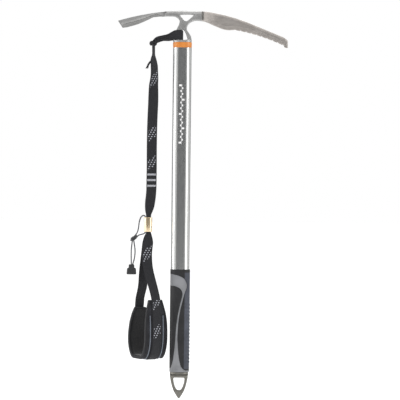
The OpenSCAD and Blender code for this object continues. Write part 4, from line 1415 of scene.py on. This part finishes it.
def add_cuff():
    """The pad, and what is sewn to it: lining, binding, webbing and piping."""
    line, out = cuff_line()
    width = cuff_width(line)
    last = len(line) - 1
    rings = []
    for i in range(1, last):
        w = width[i] - 1.3
        half = [(a * w, -0.2) for a in np.linspace(-0.96, 0.96, 25)] + [(w, -1.1), (w, -2.3), (w, -3.4)]
        rest = [(a * w, -4.3) for a in np.linspace(0.96, -0.96, 25)] + [(-w, -3.4), (-w, -2.3), (-w, -1.1)]
        rings.append(on_cuff(line, out, i, half + rest))
    verts, faces, _ = skin(rings, [0] * (len(rings[0]) + 1), [0] * len(rings))
    fabric = fabric_paint("cuff_fabric", srgb(28, 28, 30), srgb(42, 42, 46), 0.9 * MM, 0.12 * MM, 0.05)
    pad = make_piece("wrist_pad", verts, faces, fabric, "cuff_fabric", LEASH, None, 60)
    puffed(pad, line, out)
    flat_uv(pad.data, line, out)
    repaint(pad, fabric)
    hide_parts("cuff_pad")
    add_lining(pad, line, out)
    add_binding(line, out, width)
    add_cuff_webbing()
    add_piping(line, out)


def add_lining(pad, line, out):
    """Fleece that lies on the pad's inner side and follows its surface."""
    co, normal = vectors(pad.data), vectors(pad.data, "normal")
    across, outward, place = in_cuff(co, line, out)
    width = cuff_width(line)[place]
    inner = (outward < -3.2) & (np.abs(across) < width - 1.2)
    quads = [list(f.vertices) for f in pad.data.polygons if all(inner[v] for v in f.vertices)]
    way = travel(line)
    uv = [(across[i] * MM, way[place[i]] * MM) for i in range(len(co))]
    fleece = fleece_paint("cuff_fleece", srgb(12, 12, 13), srgb(24, 24, 26))
    lining = thick_sheet("wrist_lining", co + normal * 0.75 * MM, co + normal * 0.02 * MM, uv, quads, fleece,
                         "cuff_fleece", LEASH, 60)
    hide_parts("cuff_lining")


def seam_rows(line, out, across, heights):
    """Where the stitches of a seam along the cuff begin and end. across has its distance from the middle."""
    return [tuple(on_cuff(line, out, k, [(across[k], height)])[0] for k in (i, i + 2))
            for i in range(2, len(line) - 3, 3) for height in heights]


def add_binding(line, out, width):
    """A tape folded round all the edges of the cuff, with a row of stitches."""
    over, under = 0.45, -PAD_T - LINING_T
    fold = [(-2.4, over - 0.1), (-1.4, over), (-0.5, over), (-0.05, over - 0.5), (0, -1.4), (0.05, -2.4), (0, -3.4),
            (-0.05, under + 0.5), (-0.5, under), (-1.4, under), (-2.4, under + 0.1), (-2.4, under + 0.75),
            (-1.2, under + 0.8), (-1.0, under + 1.2), (-1.0, -0.7), (-1.2, -0.3), (-2.4, -0.2)]
    around = travel(np.array(fold + fold[:1])) * MM
    whole, rows = ([], [], []), []
    for side in (-1, 1):
        rings = [on_cuff(line, out, i, [(side * (width[i] + a), b) for a, b in fold]) for i in range(len(line))]
        gather(whole, *skin(rings, around, travel(line) * MM))
        rows += seam_rows(line, out, side * (width - 1.9), (over + 0.02, under - 0.02))
    for end, way_in in ((0, 1), (len(line) - 1, -1)):
        step = np.array([out[end, 1], -out[end, 0]]) * way_in
        rings = []
        for share in np.linspace(-1, 1, 24):
            ring = []
            for a, b in fold:
                spot = line[end] - step * (a + 0.6) + out[end] * b
                ring.append(on_cuff(np.array([spot]), np.zeros((1, 2)), 0, [(share * (width[end] - 0.5), 0)])[0])
            rings.append(np.array(ring))
        gather(whole, *skin(rings, around, np.linspace(-1, 1, 24) * width[end] * MM))
    gather(whole, *stitches(rows, 0.24 * MM))
    verts, faces, uvs = whole
    tape = webbing_paint("binding_black")
    binding = make_piece("edge_binding", verts, faces, tape, "binding_black", LEASH, uvs, 50)
    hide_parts("cuff_binding")


def add_cuff_webbing():
    """The leash's webbing, carried round the outside of the cuff and sewn to it."""
    line, out = cuff_line(CUFF_END + 1)
    section = webbing_section(WEB_W, WEB_T, 14)
    rings = [on_cuff(line, out, i, [(a, WEB_T / 2 + b) for a, b in section]) for i in range(len(line))]
    across = [a * MM for a, _ in section]
    whole, rows = ([], [], []), []
    gather(whole, *skin(rings, across + across[:1], travel(line) * MM))
    for side in (-1, 1):
        rows += seam_rows(line, out, np.full(len(line), side * 7.2), (WEB_T + 0.02,))
    gather(whole, *stitches(rows, 0.22 * MM))
    verts, faces, uvs = whole
    paint = webbing_paint("cuff_webbing_black", srgb(23, 23, 25), srgb(44, 44, 48), [(0, 12 * MM), (43 * MM, 61 * MM)])
    piece = make_piece("cuff_outer_webbing", verts, faces, paint, "webbing_black", LEASH, uvs, 60)
    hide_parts("cuff_webbing")


PIPING_TOP, PIPING_AWAY, PIPING_D = -500, 12.1, 1.6 * MM


def add_piping(line, out):
    """Two lines of piping beside the webbing, low on the cuff."""
    paint = cord_paint("piping_blue_grey", srgb(78, 85, 94), srgb(112, 119, 130), 1.4 * MM)
    low = [i for i in range(len(line)) if line[i, 1] < PIPING_TOP]
    whole = [], [], []
    for side in (-1, 1):
        middle = np.array([on_cuff(line, out, i, [(side * PIPING_AWAY, 0.45)])[0] for i in low])
        rings = cord_rings(middle, PIPING_D, 12)
        for end in (0, -1):
            rings[end] = [Vector(middle[end]) + (q - Vector(middle[end])) * 0.35 for q in rings[end]]
        gather(whole, *skin(rings, [k * 0.42 * MM for k in range(13)], travel(middle)))
    verts, faces, uvs = whole
    piece = make_piece("cuff_pipes", verts, faces, paint, "piping_blue_grey", LEASH, uvs, 60)
    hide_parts("cuff_piping")


add_camera()
add_leash_webbing()
add_pull_cord()
add_studio()
add_slider()
add_bar_tacks()
add_hitch()
add_tag()
add_head()
add_spike()
add_grip()
add_cuff()
for place in bpy.data.objects["shaft_tube"].material_slots:
    place.material = shaft_paint()
